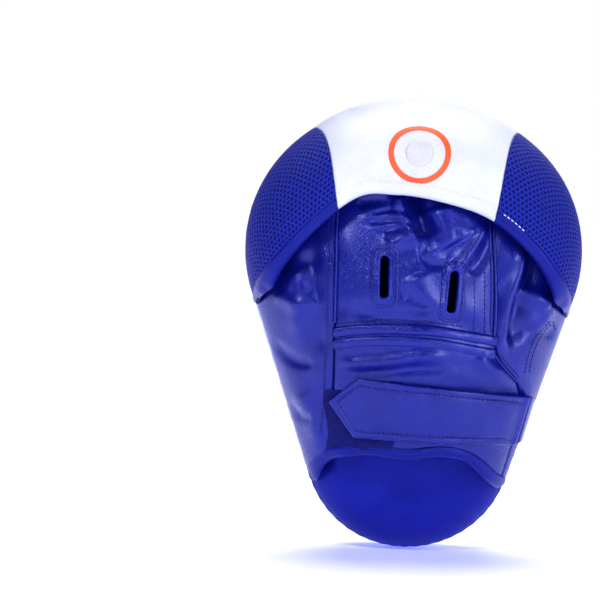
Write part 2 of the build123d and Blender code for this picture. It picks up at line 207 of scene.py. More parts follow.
# Creases and folds of the glove's leather: line, width, height, step. height lifts or sinks a
# rounded ridge, and step makes the left side of the line stand over the right side.
FOLDS = [
    ([(-2, 216), (-1, 206), (3, 197), (8, 187.5)], 4.8, -10.0, 0.0),
    ([(-12, 214), (-9, 203), (-4, 195), (3, 188.5)], 5.0, 4.2, 0.0),
    ([(13, 208), (17, 197), (24, 184)], 12.0, 5.0, 0.0),
    ([(7.5, 190), (3.6, 185), (2.8, 179), (6.0, 173.2), (13, 171.5), (20, 175)], 2.4, -1.8, -1.0),
    ([(-27, 201), (-14, 203.5), (-5, 201.5), (2, 195), (7, 188.5)], 1.7, -1.9, 0.7),
    ([(-29, 195.5), (-14, 197.5), (-4, 195.8), (2, 192), (7, 188)], 1.7, -1.8, 0.7),
    ([(-22, 190), (-10, 192.5), (0, 191), (6.5, 187.2)], 1.5, -1.2, 0.0),
    ([(-17, 182.5), (-9, 187), (1, 190)], 5.0, 3.2, 0.0),
    ([(-36, 206), (-22, 208), (-12, 206)], 4.0, -2.2, 0.0),
    ([(20, 168), (27, 175), (34, 185), (40, 197)], 3.8, 3.2, 0.0),
    ([(15, 176), (22, 184), (27, 194)], 3.4, -1.0, 0.0),
    ([(30, 167), (37, 176), (43, 188)], 4.0, -1.8, 0.0),
    ([(0, 168), (4, 158), (10, 144)], 8.0, 2.6, 0.0),
    ([(-6, 156), (6, 150), (12, 148)], 3.2, -1.4, 0.8),
    ([(-40, 145), (-10, 140.5), (20, 140), (44, 134)], 5.0, -2.2, 0.0),
    ([(61, 186), (58.9, 170), (54.4, 158.5), (51.2, 144), (49.6, 125)], 3.9, 5.4, 1.0),
    ([(70, 190), (66.5, 170), (62, 156), (58, 141), (56.5, 124)], 5.6, -6.2, 0.0),
    ([(60, 159), (67, 155.5), (77, 150)], 4.0, 4.4, 0.0),
    ([(59, 137), (70, 133.5), (84, 134)], 4.0, -2.0, 0.0),
    ([(-44, 113), (-20, 115), (8, 119.5), (22, 119)], 3.6, 1.8, 0.0),
    ([(-44, 107), (-20, 109), (4, 112), (24, 112)], 3.6, -2.0, 0.0),
    ([(36, 121), (44, 113), (52, 105), (60, 98)], 5.5, 2.6, 0.0),
    ([(70, 128), (73, 140), (79, 152)], 5.0, 2.2, 0.0),
    ([(-60, 184), (-58, 160), (-56, 138), (-52, 116)], 5.0, -2.6, 0.0),
    ([(-70, 176), (-67, 152), (-64, 128)], 6.0, 2.6, 0.0),
    ([(-64, 96), (-58, 82), (-52, 66)], 5.0, 1.6, 0.0),
    ([(-82, 124), (-68, 114), (-56, 113)], 3.4, -1.9, 0.0),
    ([(-72, 88), (-63, 81), (-55, 80)], 3.0, -1.6, 0.0),
    ([(-80, 152), (-66, 147), (-55, 150)], 4.0, 2.0, 0.0),
    ([(-84, 178), (-72, 170), (-58, 172)], 4.4, -2.0, 0.0),
    ([(66, 98), (58, 96), (50, 100)], 3.0, -1.4, 0.0),
    ([(14, 113), (28, 108), (44, 103)], 4.2, 1.5, 0.0),
]


def relief(x, z):
    """Height that the folds add to the glove's leather."""
    rise = np.zeros(np.shape(x))
    for points, width, height, step in FOLDS:
        near = np.asarray(points, float)
        low, high = near.min(0) - 4 * width, near.max(0) + 4 * width
        inside = (x > low[0]) & (x < high[0]) & (z > low[1]) & (z < high[1])
        if not inside.any():
            continue
        gap, place = to_line(x[inside], z[inside], points)
        fade = np.clip(np.minimum(place, 1 - place) * 6, 0, 1)
        fade = 0.25 + 0.75 * fade * fade * (3 - 2 * fade)
        bell = np.exp(-((gap / width) ** 2))
        rise[inside] += fade * bell * (height + step * gap / width)
    slow = np.sin(x * 0.13 + 1.1) * np.sin(z * 0.11 + 0.4) + 0.5 * np.sin(x * 0.29 + z * 0.21)
    return rise + 0.35 * slow


def glove_point(x, z, lift=0.0, folds=1.0):
    """Point on the glove's arch, lifted square to it, from its place seen from the front."""
    x, z = np.broadcast_arrays(np.asarray(x, float), np.asarray(z, float))
    half, _ = arch_at(z)
    return arch_point(np.arcsin(np.clip(x / half, -1, 1)), z, lift, folds)


def pad_half(z):
    """Half width of the pad at a height."""
    side = HALF_PEAR[HALF_PEAR[:, 0] > 30]
    return np.interp(z, side[:, 1], side[:, 0])


def arch_point(turn, z, lift=0.0, folds=1.0):
    """Point on the glove's arch at an angle round it: 0 in the middle, 90 degrees at its side."""
    turn, z = np.broadcast_arrays(np.asarray(turn, float), np.asarray(z, float))
    half, height = arch_at(z)
    x, y = half * np.sin(turn), -height * np.cos(turn)
    foot = np.clip((np.abs(turn) - math.radians(50)) / math.radians(40), 0, 1)
    x = x + np.sign(turn) * foot**2 * np.clip(pad_half(z) - 2.4 - half, 0, 7)
    normal = np.stack([height * np.sin(turn), -half * np.cos(turn)], -1)
    normal /= np.linalg.norm(normal, axis=-1)[..., None]
    rise = lift + folds * relief(x, z) * np.clip(np.cos(turn) * 3, 0, 1)
    return np.stack([x + normal[..., 0] * rise, y + normal[..., 1] * rise, z], -1)


# ---------------------------------------------------------------- meshes
def mesh_object(name, points, faces):
    """A mesh object in the scene, from millimetre points."""
    mesh = bpy.data.meshes.new(name)
    mesh.from_pydata([tuple(v) for v in np.asarray(points) * MM], [], faces)
    mesh.validate()
    mesh.update()
    obj = bpy.data.objects.new(name, mesh)
    bpy.context.scene.collection.objects.link(obj)
    return obj


def facing_out(points, faces):
    """The faces of a closed mesh, all turned round if they look inwards."""
    fans = np.array([(f[0], f[k], f[k + 1]) for f in faces for k in range(1, len(f) - 1)])
    first, second, third = (points[fans[:, k]] for k in range(3))
    if (first * np.cross(second, third)).sum() > 0:
        return faces
    return [[face[0], *face[:0:-1]] for face in faces]


def new_piece(name, data, material, nodes=(), body="mitt"):
    """A smooth closed piece from its points and faces, riding on a body unless that is None."""
    points, faces = data
    obj = mesh_object(name, points, facing_out(points, faces))
    obj.data.polygons.foreach_set("use_smooth", [True] * len(obj.data.polygons))
    obj.data.materials.append(material)
    if body:
        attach(obj, body)
    if nodes:
        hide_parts(*nodes)
    return obj


def grid_faces(rows, cols, offset=0, wrap_rows=False, wrap_cols=False, flip=False):
    """Quads of a grid of points, row by row."""
    faces = []
    for r in range(rows if wrap_rows else rows - 1):
        for c in range(cols if wrap_cols else cols - 1):
            low, high = offset + r * cols, offset + (r + 1) % rows * cols
            quad = [low + c, low + (c + 1) % cols, high + (c + 1) % cols, high + c]
            faces.append(quad[::-1] if flip else quad)
    return faces


def shell_data(outer, inner):
    """Closed shell between two grids of the same size."""
    rows, cols = outer.shape[:2]
    count = rows * cols
    faces = grid_faces(rows, cols) + grid_faces(rows, cols, count, flip=True)
    rim = ([(0, c) for c in range(cols)] + [(r, cols - 1) for r in range(1, rows)]
           + [(rows - 1, c) for c in range(cols - 2, -1, -1)]
           + [(r, 0) for r in range(rows - 2, 0, -1)])
    ids = [r * cols + c for r, c in rim]
    for a, b in zip(ids, ids[1:] + ids[:1]):
        faces.append([b, a, a + count, b + count])
    return np.vstack([outer.reshape(-1, 3), inner.reshape(-1, 3)]), faces


def disc_data(outer, inner, hole=False):
    """Closed shell between two discs of rings, or between two rings where hole is set."""
    rows, cols = outer.shape[:2]
    count = rows * cols
    faces = grid_faces(rows, cols, wrap_cols=True)
    faces += grid_faces(rows, cols, count, wrap_cols=True, flip=True)
    for row, flip in [(0, False)] * hole + [(rows - 1, True)]:
        for c in range(cols):
            a, b = row * cols + c, row * cols + (c + 1) % cols
            quad = [b, a, a + count, b + count]
            faces.append(quad[::-1] if flip else quad)
    return np.vstack([outer.reshape(-1, 3), inner.reshape(-1, 3)]), faces


def tube_data(loops, wrap=True):
    """Closed loops joined into a band; without wrap its two ends are capped."""
    rows, cols = loops.shape[:2]
    faces = grid_faces(rows, cols, wrap_rows=wrap, wrap_cols=True)
    if not wrap:
        faces += [list(range(cols))[::-1], [(rows - 1) * cols + c for c in range(cols)]]
    return loops.reshape(-1, 3), faces


def join_data(parts):
    """Several pieces of mesh data as one."""
    verts, faces, start = [], [], 0
    for points, quads in parts:
        verts.append(points)
        faces += [[start + k for k in quad] for quad in quads]
        start += len(points)
    return np.vstack(verts), faces


def spread(length, step, roll):
    """Places along a length: fine within roll of both ends, step apart between."""
    edge = roll * (1 - np.cos(np.linspace(0, math.pi / 2, 5)))
    middle = np.linspace(roll, length - roll, max(3, round((length - 2 * roll) / step)))
    return np.concatenate([edge[:-1], middle, (length - edge[:-1])[::-1]]) / length


def coons(bottom, top, left, right, step=1.2, roll=1.6):
    """Grid of (x, z) points between four lines that meet at their ends."""
    lines = [np.asarray(line, float) for line in (bottom, top, left, right)]
    size = [distances(line)[-1] for line in lines]
    across = spread((size[0] + size[1]) / 2, step, roll)
    along = spread((size[2] + size[3]) / 2, step, roll)
    b, t, lf, r = (even(line, 400) for line in lines)
    s, u = across[None, :, None], along[:, None, None]
    return ((1 - u) * points_at(b, across)[None] + u * points_at(t, across)[None]
            + (1 - s) * points_at(lf, along)[:, None] + s * points_at(r, along)[:, None]
            - (1 - s) * (1 - u) * b[0] - s * (1 - u) * b[-1] - (1 - s) * u * t[0] - s * u * t[-1])


def points_at(line, shares):
    """Points of an evenly spaced line at shares of its length."""
    where = shares * (len(line) - 1)
    return np.stack([np.interp(where, np.arange(len(line)), line[:, k]) for k in (0, 1)], 1)


def edge_gap(points):
    """Distance of every grid point to the nearest edge of the grid, along the surface."""
    across = np.linalg.norm(np.diff(points, axis=1), axis=-1)
    along = np.linalg.norm(np.diff(points, axis=0), axis=-1)
    from_left = np.pad(np.cumsum(across, 1), ((0, 0), (1, 0)))
    from_low = np.pad(np.cumsum(along, 0), ((1, 0), (0, 0)))
    gaps = [from_left, from_left[:, -1:] - from_left, from_low, from_low[-1:] - from_low]
    return np.minimum.reduce(gaps)


def rolled(gap, roll):
    """0 at an edge, rising round a quarter circle to 1 at roll inside it."""
    t = np.clip(gap / roll, 0, 1)
    return np.sqrt(1 - (1 - t) ** 2)


def leather_panel(name, node, flat, surface, puff, reach=14.0, roll=1.6):
    """Glove leather on a surface, turned under at its edges and crowned by puff between its seams."""
    x, z = flat[..., 0], flat[..., 1]
    gap = edge_gap(surface(x, z, 0.0))
    crown = 1 - (1 - np.clip(gap / reach, 0, 1)) ** 2
    outer = surface(x, z, -LEATHER + LEATHER * rolled(gap, roll) + puff * crown)
    shell = shell_data(outer, surface(x, z, -LEATHER - 0.3))
    return new_piece(name, shell, GLOVE_LEATHER, [node])


def inflate(points, pressure=4.0, cap=2.5, spacing=5.0, grow=0.015, ring=False):
    """Cloth simulation of a padded sheet that is sewn down along its edges.

    points is the sheet's grid, whose last row only is sewn where ring is set. Returns how far every
    point of the grid moves, in millimetres, with cap as the most.
    """
    rows, cols = points.shape[:2]
    tall = np.linalg.norm(np.diff(points, axis=0), axis=-1).sum(0).max()
    wide = np.linalg.norm(np.diff(points, axis=1), axis=-1).sum(1).max()
    r = np.unique(np.linspace(0, rows - 1, max(6, int(tall / spacing))).round().astype(int))
    c = np.unique(np.linspace(0, cols - 1, max(6, int(wide / spacing))).round().astype(int))
    rest = points[np.ix_(r, c)]
    obj = mesh_object("cloth", rest.reshape(-1, 3), grid_faces(len(r), len(c), wrap_cols=ring))
    sewn = np.zeros((len(r), len(c)), bool)
    sewn[-1] = True
    if not ring:
        sewn[0] = sewn[:, 0] = sewn[:, -1] = True
    group = obj.vertex_groups.new(name="sewn")
    group.add([int(k) for k in np.flatnonzero(sewn.ravel())], 1.0, "REPLACE")
    cloth = obj.modifiers.new("cloth", "CLOTH")
    settings = cloth.settings
    settings.quality = 6
    settings.mass = 0.25
    settings.vertex_group_mass = "sewn"
    settings.use_pressure = True
    settings.uniform_pressure_force = pressure
    settings.shrink_min = -grow
    settings.tension_stiffness = settings.compression_stiffness = 18
    settings.bending_stiffness = 0.4
    settings.effector_weights.gravity = 0
    cloth.point_cache.frame_start, cloth.point_cache.frame_end = 1, CLOTH_FRAMES
    for frame_number in range(1, CLOTH_FRAMES + 1):
        bpy.context.scene.frame_set(frame_number)
    graph = bpy.context.evaluated_depsgraph_get()
    made = obj.evaluated_get(graph).to_mesh()
    places = np.empty(len(made.vertices) * 3)
    made.vertices.foreach_get("co", places)
    obj.evaluated_get(graph).to_mesh_clear()
    bpy.context.scene.frame_set(1)
    remove([obj])
    move = places.reshape(rest.shape) / MM - rest
    far = np.linalg.norm(move, axis=-1)[..., None]
    move *= np.minimum(1, cap / np.maximum(far, 1e-6))
    return filled_in(filled_in(move, r, rows, 0), c, cols, 1)


def filled_in(values, knots, count, axis):
    """Values known at the knots of an axis, interpolated at all its count places."""
    return np.apply_along_axis(lambda row: np.interp(np.arange(count), knots, row), axis, values)


def remove(objects):
    """Delete working objects."""
    for obj in objects:
        mesh = obj.data
        bpy.data.objects.remove(obj)
        bpy.data.meshes.remove(mesh)


# ---------------------------------------------------------------- stitching
STITCH = [(0.0, 0.25, -0.28), (0.12, 0.8, -0.05), (0.5, 1.0, 0.1), (0.88, 0.8, -0.05),
          (1.0, 0.25, -0.28)]  # place along it, thickness, height over its line


def thread(surface, line, pitch=3.0, length=2.1, radius=0.3, lift=0.22):
    """Mesh data of a row of stitches along a line on a surface."""
    points = surface(line[:, 0], line[:, 1], lift)
    along = distances(points)
    sides = np.linspace(0, 2 * math.pi, 7)[:-1, None]
    parts = []
    for start in np.arange(pitch / 2, along[-1] - length, pitch):
        first, last = (np.array([np.interp(at, along, points[:, k]) for k in range(3)])
                       for at in (start, start + length))
        axis = last - first
        if np.linalg.norm(axis) < 1e-6:
            continue
        unit = axis / np.linalg.norm(axis)
        out = np.cross(unit, (0.0, 0.0, 1.0) if abs(unit[2]) < 0.9 else (1.0, 0.0, 0.0))
        out /= np.linalg.norm(out)
        around = np.cos(sides) * out + np.sin(sides) * np.cross(unit, out)
        loops = [first + axis * share + np.array((0, -2 * radius * rise, 0)) + radius * size * around
                 for share, size, rise in STITCH]
        parts.append(tube_data(np.array(loops), wrap=False))
    return parts


def sewing(name, rows, material, body="mitt"):
    """One piece out of several rows of stitches."""
    return new_piece(name, join_data([part for row in rows for part in row]), material, body=body)


# ---------------------------------------------------------------- materials
BLUE_GLOSS = (0.2, 0.25, 1.0)  # the finish reflects mostly blue


def srgb(*values):
    """Linear colour from 0 to 255 display values."""
    return tuple((v / 255 / 12.92 if v <= 10 else ((v / 255 + 0.055) / 1.055) ** 2.4) for v in values)


class Shader:
    """A Principled material and short calls for its nodes."""

    def __init__(self, name, roughness, specular=0.5):
        self.material = bpy.data.materials.new(name)
        self.material.use_nodes = True
        self.tree = self.material.node_tree
        self.main = self.tree.nodes["Principled BSDF"]
        self.main.inputs["Roughness"].default_value = roughness
        self.main.inputs["Specular IOR Level"].default_value = specular
        self.place = self.tree.nodes.new("ShaderNodeTexCoord").outputs["Object"]

    def node(self, kind, links=None, **values):
        made = self.tree.nodes.new(kind)
        for key, value in values.items():
            if hasattr(made, key):
                setattr(made, key, value)
            else:
                made.inputs[key.replace("_", " ")].default_value = value
        for key, source in (links or {}).items():
            self.tree.links.new(source, made.inputs[key])
        return made

    def noise(self, scale, detail=3.0):
        return self.node("ShaderNodeTexNoise", {"Vector": self.place}, Scale=scale, Detail=detail,
                         Roughness=0.55).outputs["Fac"]

    def wave(self, scale, distortion, direction="DIAGONAL"):
        return self.node("ShaderNodeTexWave", {"Vector": self.place}, wave_type="BANDS", Scale=scale,
                         bands_direction=direction, Distortion=distortion).outputs["Fac"]

    def cells(self, scale):
        return self.node("ShaderNodeTexVoronoi", {"Vector": self.place}, Scale=scale,
                         feature="DISTANCE_TO_EDGE").outputs["Distance"]

    def drift(self, scale, low=0.0, high=1.0, detail=3.0):
        return self.ramp(self.noise(scale, detail), low, high, 0.3, 0.7)

    def ramp(self, source, low, high, start=0.0, end=1.0):
        made = self.node("ShaderNodeMapRange", {"Value": source})
        for key, value in zip(("From Min", "From Max", "To Min", "To Max"), (start, end, low, high)):
            made.inputs[key].default_value = value
        return made.outputs["Result"]

    def mix(self, share, first, second):
        made = self.node("ShaderNodeMix", {"Factor": share}, data_type="RGBA")
        for socket, colour in ((made.inputs[6], first), (made.inputs[7], second)):
            if isinstance(colour, tuple):
                socket.default_value = (*colour, 1)
            else:
                self.tree.links.new(colour, socket)
        return made.outputs[2]

    def bump(self, height, strength, distance, under=None):
        links = {"Height": height}
        if under is not None:
            links["Normal"] = under
        made = self.node("ShaderNodeBump", links)
        made.inputs["Strength"].default_value = strength
        made.inputs["Distance"].default_value = distance
        return made.outputs["Normal"]

    def set(self, **links):
        for key, source in links.items():
            self.tree.links.new(source, self.main.inputs[key.replace("_", " ")])
        return self.material


def leather(name, deep, light, rough, grain, depth, specular=0.5, coat=0.0, tint=(1, 1, 1)):
    """Coated leather: pebble grain, slow colour drift, worn and polished patches."""
    s = Shader(name, rough, specular)
    s.main.inputs["Specular Tint"].default_value = (*tint, 1)
    s.main.inputs["Coat Weight"].default_value = coat
    s.main.inputs["Coat Roughness"].default_value = 0.25
    pores = s.ramp(s.cells(grain), 0.0, 1.0, 0.0, 0.22)
    colour = s.mix(s.drift(38, detail=4), deep, light)
    colour = s.mix(s.ramp(s.cells(grain), 0.16, 0.0, 0.0, 0.12), colour, tuple(0.35 * c for c in deep))
    fine = s.bump(s.noise(grain * 2.2, 2), 0.25, depth * 0.6)
    return s.set(Base_Color=colour, Roughness=s.drift(90, rough - 0.06, rough + 0.08, 5),
                 Normal=s.bump(pores, 0.5, depth, fine))


def woven(name, deep, light, scale, rough=0.9):
    """Plain woven or knitted cloth."""
    s = Shader(name, rough, 0.25)
    s.main.inputs["Sheen Weight"].default_value = 0.04
    bands = {k: s.wave(scale, 0.6, axis) for k, axis in enumerate("XZ")}
    weave = s.node("ShaderNodeMath", bands, operation="MULTIPLY").outputs[0]
    fuzz = s.noise(260, 3)
    colour = s.mix(s.ramp(weave, 0.0, 1.0), deep, light)
    colour = s.mix(s.ramp(fuzz, 0.0, 0.35, 0.4, 0.75), colour, tuple(0.5 * c for c in deep))
    roughness = s.ramp(fuzz, rough - 0.08, min(1.0, rough + 0.06), 0.3, 0.7)
    return s.set(Base_Color=colour, Roughness=roughness, Normal=s.bump(weave, 0.5, 0.0004))


def thread_material(name, deep, light):
    """Twisted sewing thread."""
    s = Shader(name, 0.6, 0.3)
    twist = s.wave(420.0, 1.0)
    return s.set(Base_Color=s.mix(twist, deep, light), Normal=s.bump(twist, 0.4, 0.0001),
                 Roughness=s.drift(300, 0.5, 0.7))


def foam_material(name, deep, light):
    """Open foam, seen only where a cover is lifted."""
    s = Shader(name, 0.9, 0.2)
    cells = s.ramp(s.cells(420), 0.0, 1.0, 0.0, 0.3)
    return s.set(Base_Color=s.mix(cells, deep, light), Normal=s.bump(cells, 0.5, 0.0003),
                 Roughness=s.drift(150, 0.82, 0.95))


def air_mesh_material():
    """Knitted spacer mesh: ribs between holes that carry painted shade, dark wherever the mesh's own
    attribute marks a hole.
    """
    s = Shader("air_mesh", 0.62, 0.3)
    s.main.inputs["Sheen Weight"].default_value = 0.03
    s.main.inputs["Specular Tint"].default_value = (*BLUE_GLOSS, 1)
    hole = s.node("ShaderNodeAttribute", attribute_name="hole").outputs["Fac"]
    yarn = s.wave(260.0, 2.0)
    ribs = s.mix(yarn, srgb(15, 25, 126), srgb(27, 39, 148))
    # painted shade: the holes are only shallow dimples, so the shade inside them is painted as a
    # near-black blue
    colour = s.mix(s.ramp(hole, 0.0, 1.0, 0.0, 0.55), ribs, srgb(3, 6, 70))
    return s.set(Base_Color=colour, Normal=s.bump(yarn, 0.35, 0.0002),
                 Roughness=s.drift(200, 0.55, 0.72))


FACE_LEATHER = leather("face_leather", srgb(11, 19, 126), srgb(19, 29, 142), 0.46, 900, 0.00014,
                       0.4, tint=BLUE_GLOSS)
GLOVE_LEATHER = leather("glove_leather", srgb(4, 11, 98), srgb(9, 18, 118), 0.25, 950, 0.00011,
                        1.0, 0.15, BLUE_GLOSS)
EDGE_LEATHER = leather("edge_leather", srgb(5, 12, 104), srgb(10, 19, 122), 0.38, 800, 0.0001, 0.6,
                       tint=BLUE_GLOSS)
WHITE_LEATHER = leather("white_leather", srgb(198, 201, 220), srgb(208, 211, 229), 0.42, 800, 0.0001)
WHITE_PRINT = leather("white_print", srgb(204, 208, 252), srgb(222, 225, 255), 0.45, 600, 0.00005)
ORANGE_PRINT = leather("orange_print", srgb(236, 74, 16), srgb(244, 88, 26), 0.45, 600, 0.00005)
GREY_PRINT = leather("grey_print", srgb(186, 187, 186), srgb(204, 204, 200), 0.45, 600, 0.00005)
AIR_MESH = air_mesh_material()
LINING = woven("lining", srgb(4, 8, 60), srgb(10, 16, 88), 150)
LOOP_FABRIC = woven("loop_fabric", srgb(0, 6, 84), srgb(3, 13, 112), 240, 0.95)
HOOK_PLASTIC = woven("hook_plastic", srgb(2, 5, 50), srgb(7, 14, 92), 300, 0.6)
BLUE_THREAD = thread_material("blue_thread", srgb(2, 4, 60), srgb(8, 14, 104))
WHITE_THREAD = thread_material("white_thread", srgb(214, 216, 240), srgb(246, 247, 255))
FOAM = foam_material("foam", srgb(14, 18, 64), srgb(24, 30, 88))


# ---------------------------------------------------------------- strike pad
def face_depth(x, z):
    """Depth of the strike face: crowned in its middle, rolled down at its edge."""
    gap = edge_distance(x, z)
    return PAD_DEPTH - 1.8 + 1.8 * rolled(gap, 3.0) + 1.6 * np.clip(gap / 60, 0, 1) ** 0.7


def edge_distance(x, z):
    """Distance from the pad's outline, inwards, for points inside it."""
    loop = even(PEAR, 500)
    x, z = np.broadcast_arrays(np.asarray(x, float), np.asarray(z, float))
    flat = np.stack([x.ravel(), z.ravel()], 1)
    gap = np.empty(len(flat))
    for start in range(0, len(flat), 2000):
        part = flat[start:start + 2000]
        gap[start:start + 2000] = np.sqrt(((part[:, None] - loop[None]) ** 2).sum(-1).min(1))
    return gap.reshape(x.shape)


def strike_surface(x, z, lift):
    """Point on the strike face, lifted out of it."""
    return bend(x, z, face_depth(x, z) + lift)


def pad_cover(name, node, depth_at, back_depth, inset, swell=None):
    """Leather sheet over one side of the pad, in rings from its middle line to its edge.

    swell is the most that the cloth simulation may move it, in millimetres.
    """
    loop = pear_loop(220, inset)
    spine = np.stack([np.zeros(len(loop)), np.clip(loop[:, 1], 66, 190)], 1)
    share = np.sin(np.linspace(0, 1, 60) * math.pi / 2)[:, None, None]
    flat = spine[None] + (loop - spine)[None] * share
    x, z = flat[..., 0], flat[..., 1]
    outer = bend(x, z, depth_at(x, z))
    if swell:
        outer = outer + inflate(outer[:, ::-1], 3.0, swell, ring=True)[:, ::-1]
    data = disc_data(outer, bend(x, z, back_depth))
    return new_piece(name, data, FACE_LEATHER, [node])


def edge_band(name, profile, material, node, count=900):
    """Closed band round the pad. profile gives rings of (inset, depth) for every place round it."""
    places = np.linspace(0, 1, count, endpoint=False)
    rings = profile(places)
    loop = pear_loop(count)
    outwards = loop - pear_loop(count, 1.0)
    flat = loop[:, None] - outwards[:, None] * rings[..., :1]
    points = bend(flat[..., 0], flat[..., 1], rings[..., 1])
    return new_piece(name, tube_data(points), material, [node])


def gusset_profile(places):
    """White side wall, bulging between its two seams, with slow waves from the sewing."""
    turn = np.linspace(0, 1, 15)
    bulge = 2.6 * np.sin(math.pi * turn) ** 0.6
    wave = 0.25 * np.sin(places * 2 * math.pi * 46)[:, None] * np.sin(math.pi * turn)[None]
    outer = np.stack(np.broadcast_arrays(2.4 - bulge[None] + wave, 3.5 + 31.5 * turn[None]), -1)
    inner = np.stack(np.broadcast_arrays(3.6 + 0 * wave, 3.5 + 31.5 * turn[None]), -1)[:, ::-1]
    return np.concatenate([outer, inner], 1)


def piping_profile(places):
    """Face piping: a thin roll, pinched at every stitch."""
    pinch = 0.25 * np.cos(places * 2 * math.pi * 230)[:, None]
    turn = np.linspace(0, 2 * math.pi, 12, endpoint=False)[None]
    radius = 1.3 + pinch
    return np.stack([1.6 - radius * np.cos(turn), 35.6 + radius * np.sin(turn) * 1.1], -1)


def binding_profile(places):
    """Dark back edge: gathered in small pleats round the pad."""
    around = places * 2 * math.pi
    pleat = 0.12 * np.cos(around * 96 + 1.5 * np.sin(around * 7))[:, None]
    turn = np.linspace(0, 2 * math.pi, 14, endpoint=False)[None]
    return np.stack([2.6 - (1.7 + pleat) * np.cos(turn), 2.7 + (2.9 + pleat * 0.6) * np.sin(turn)], -1)


def round_grid(inside, outside, rings):
    """X and Z of the rings of points that fill a ring, or a disc where inside is 0."""
    turn = np.linspace(0, 2 * math.pi, 120, endpoint=False)
    radii = np.linspace(inside, outside, rings)[:, None]
    return radii * np.cos(turn), radii * np.sin(turn)


def ring_film(inside, outside):
    """Printed ring or disc on the strike face, as mesh data."""
    x, z = round_grid(inside, outside, 4 if inside else 14)
    return disc_data(strike_surface(x, TARGET_Z + z, 0.3), strike_surface(x, TARGET_Z + z, -0.2),
                     hole=inside > 0)


def make_pad():
    """Strike pad: both covers, gusset, piping, binding and the printed target."""
    face = pad_cover("face_cover_leather", "face_cover", face_depth, PAD_DEPTH - 3.0, 1.6, swell=1.6)

    def back_depth(x, z):
        return -1.0 * np.clip(edge_distance(x, z) / 20, 0, 1) + 0.4

    pad_cover("back_cover_leather", "back_cover", back_depth, 1.6, 2.0)
    wall = edge_band("gusset_leather", gusset_profile, WHITE_LEATHER, "gusset")
    edge_band("face_piping_roll", piping_profile, WHITE_LEATHER, "face_piping", 1800)
    edge_band("back_binding_leather", binding_profile, EDGE_LEATHER,
              "back_edge_binding", 1400)
    films = [ring_film(*radii) for radii in TARGET_RADII]
    new_piece("target_film", join_data(films), WHITE_PRINT, ["target_print"])
    loop = pear_loop(700, 4.2)
    row = thread(strike_surface, np.vstack([loop, loop[:1]]), 3.2, 2.2, 0.28)
    sewing("face_stitches", [row], BLUE_THREAD)


# ---------------------------------------------------------------- heel cushion
def make_heel():
    """Smooth dome under the wrist opening, filled with foam."""
    centre = np.array((0.0, HEEL_RADIUS))
    count, rings = 200, 44
    turn = np.linspace(0, 2 * math.pi, count, endpoint=False)
    loop = pear_loop(1200, 2.2)
    angle = np.unwrap(np.arctan2(loop[:, 1] - centre[1], loop[:, 0] - centre[0]))
    order = np.argsort(angle)
    reach = np.hypot(*(loop - centre).T)[order]
    low_side = np.interp((turn - angle[order][0]) % (2 * math.pi) + angle[order][0],
                         angle[order], reach)
    wide, tall = 60, 12  # half axes of the dome's upper edge, under the wrist opening
    upper = wide * tall / np.hypot(tall * np.cos(turn), wide * np.sin(turn))
    share = np.clip(np.sin(turn) * 5, 0, 1)
    radius = low_side * (1 - share) + upper * share
    s = np.sin(np.linspace(0, 1, rings) * math.pi / 2)
    x = centre[0] + radius[None] * s[:, None] * np.cos(turn)[None]
    z = centre[1] + radius[None] * s[:, None] * np.sin(turn)[None]
    gap = radius[None] * (1 - s[:, None])
    height = 10.5 * (1 - (1 - np.clip(gap / 30, 0, 1)) ** 2.6) ** 0.75
    corner = np.exp(-(((x + 51) / 6) ** 2 + ((z - 54) / 7) ** 2))
    dent = 0.25 * np.sin(x * 0.12 + 0.7) * np.sin(z * 0.16) - 6.0 * corner
    outer = np.stack([x, back_y(z) - height - dent * np.clip(gap / 8, 0, 1), z], -1)
    outer = outer + inflate(outer, 4.0, 1.6, ring=True)
    inner = np.stack([x, back_y(z) + 0.3, z], -1)
    dome = new_piece("heel_cushion", disc_data(outer, inner), FACE_LEATHER,
                     ["heel_cover", "heel_foam"])


# ---------------------------------------------------------------- hood
def polar_reach(points, angles):
    """Distance from the rim's centre to a line, at each angle round it."""
    rel = points - RIM_CENTRE
    angle, reach = np.arctan2(rel[:, 1], rel[:, 0]), np.hypot(*rel.T)
    order = np.argsort(angle)
    return np.interp(angles, angle[order], reach[order])


RIM_LINE = smooth_curve(HOOD_RIM, 800)
UPPER_PEAR = even(PEAR, 3000)
UPPER_PEAR = UPPER_PEAR[UPPER_PEAR[:, 1] > RIM_CENTRE[1] + 5]


def hood_tips():
    """The angles at which the rim runs out over the pad's edge."""
    angles = np.radians(np.linspace(10, 170, 3200))
    inside = polar_reach(UPPER_PEAR, angles) - polar_reach(RIM_LINE, angles) > 1.5
    return angles[inside].min(), angles[inside].max()


TIP_LOW, TIP_HIGH = hood_tips()


def hood_gap(angle):
    """How far the hood reaches in from the pad's edge, up to the start of its rolled rim."""
    gap = polar_reach(UPPER_PEAR, angle) - polar_reach(RIM_LINE, angle)
    return np.clip(gap - 4.0 * np.clip(gap / 16, 0.15, 1), 0.5, None)


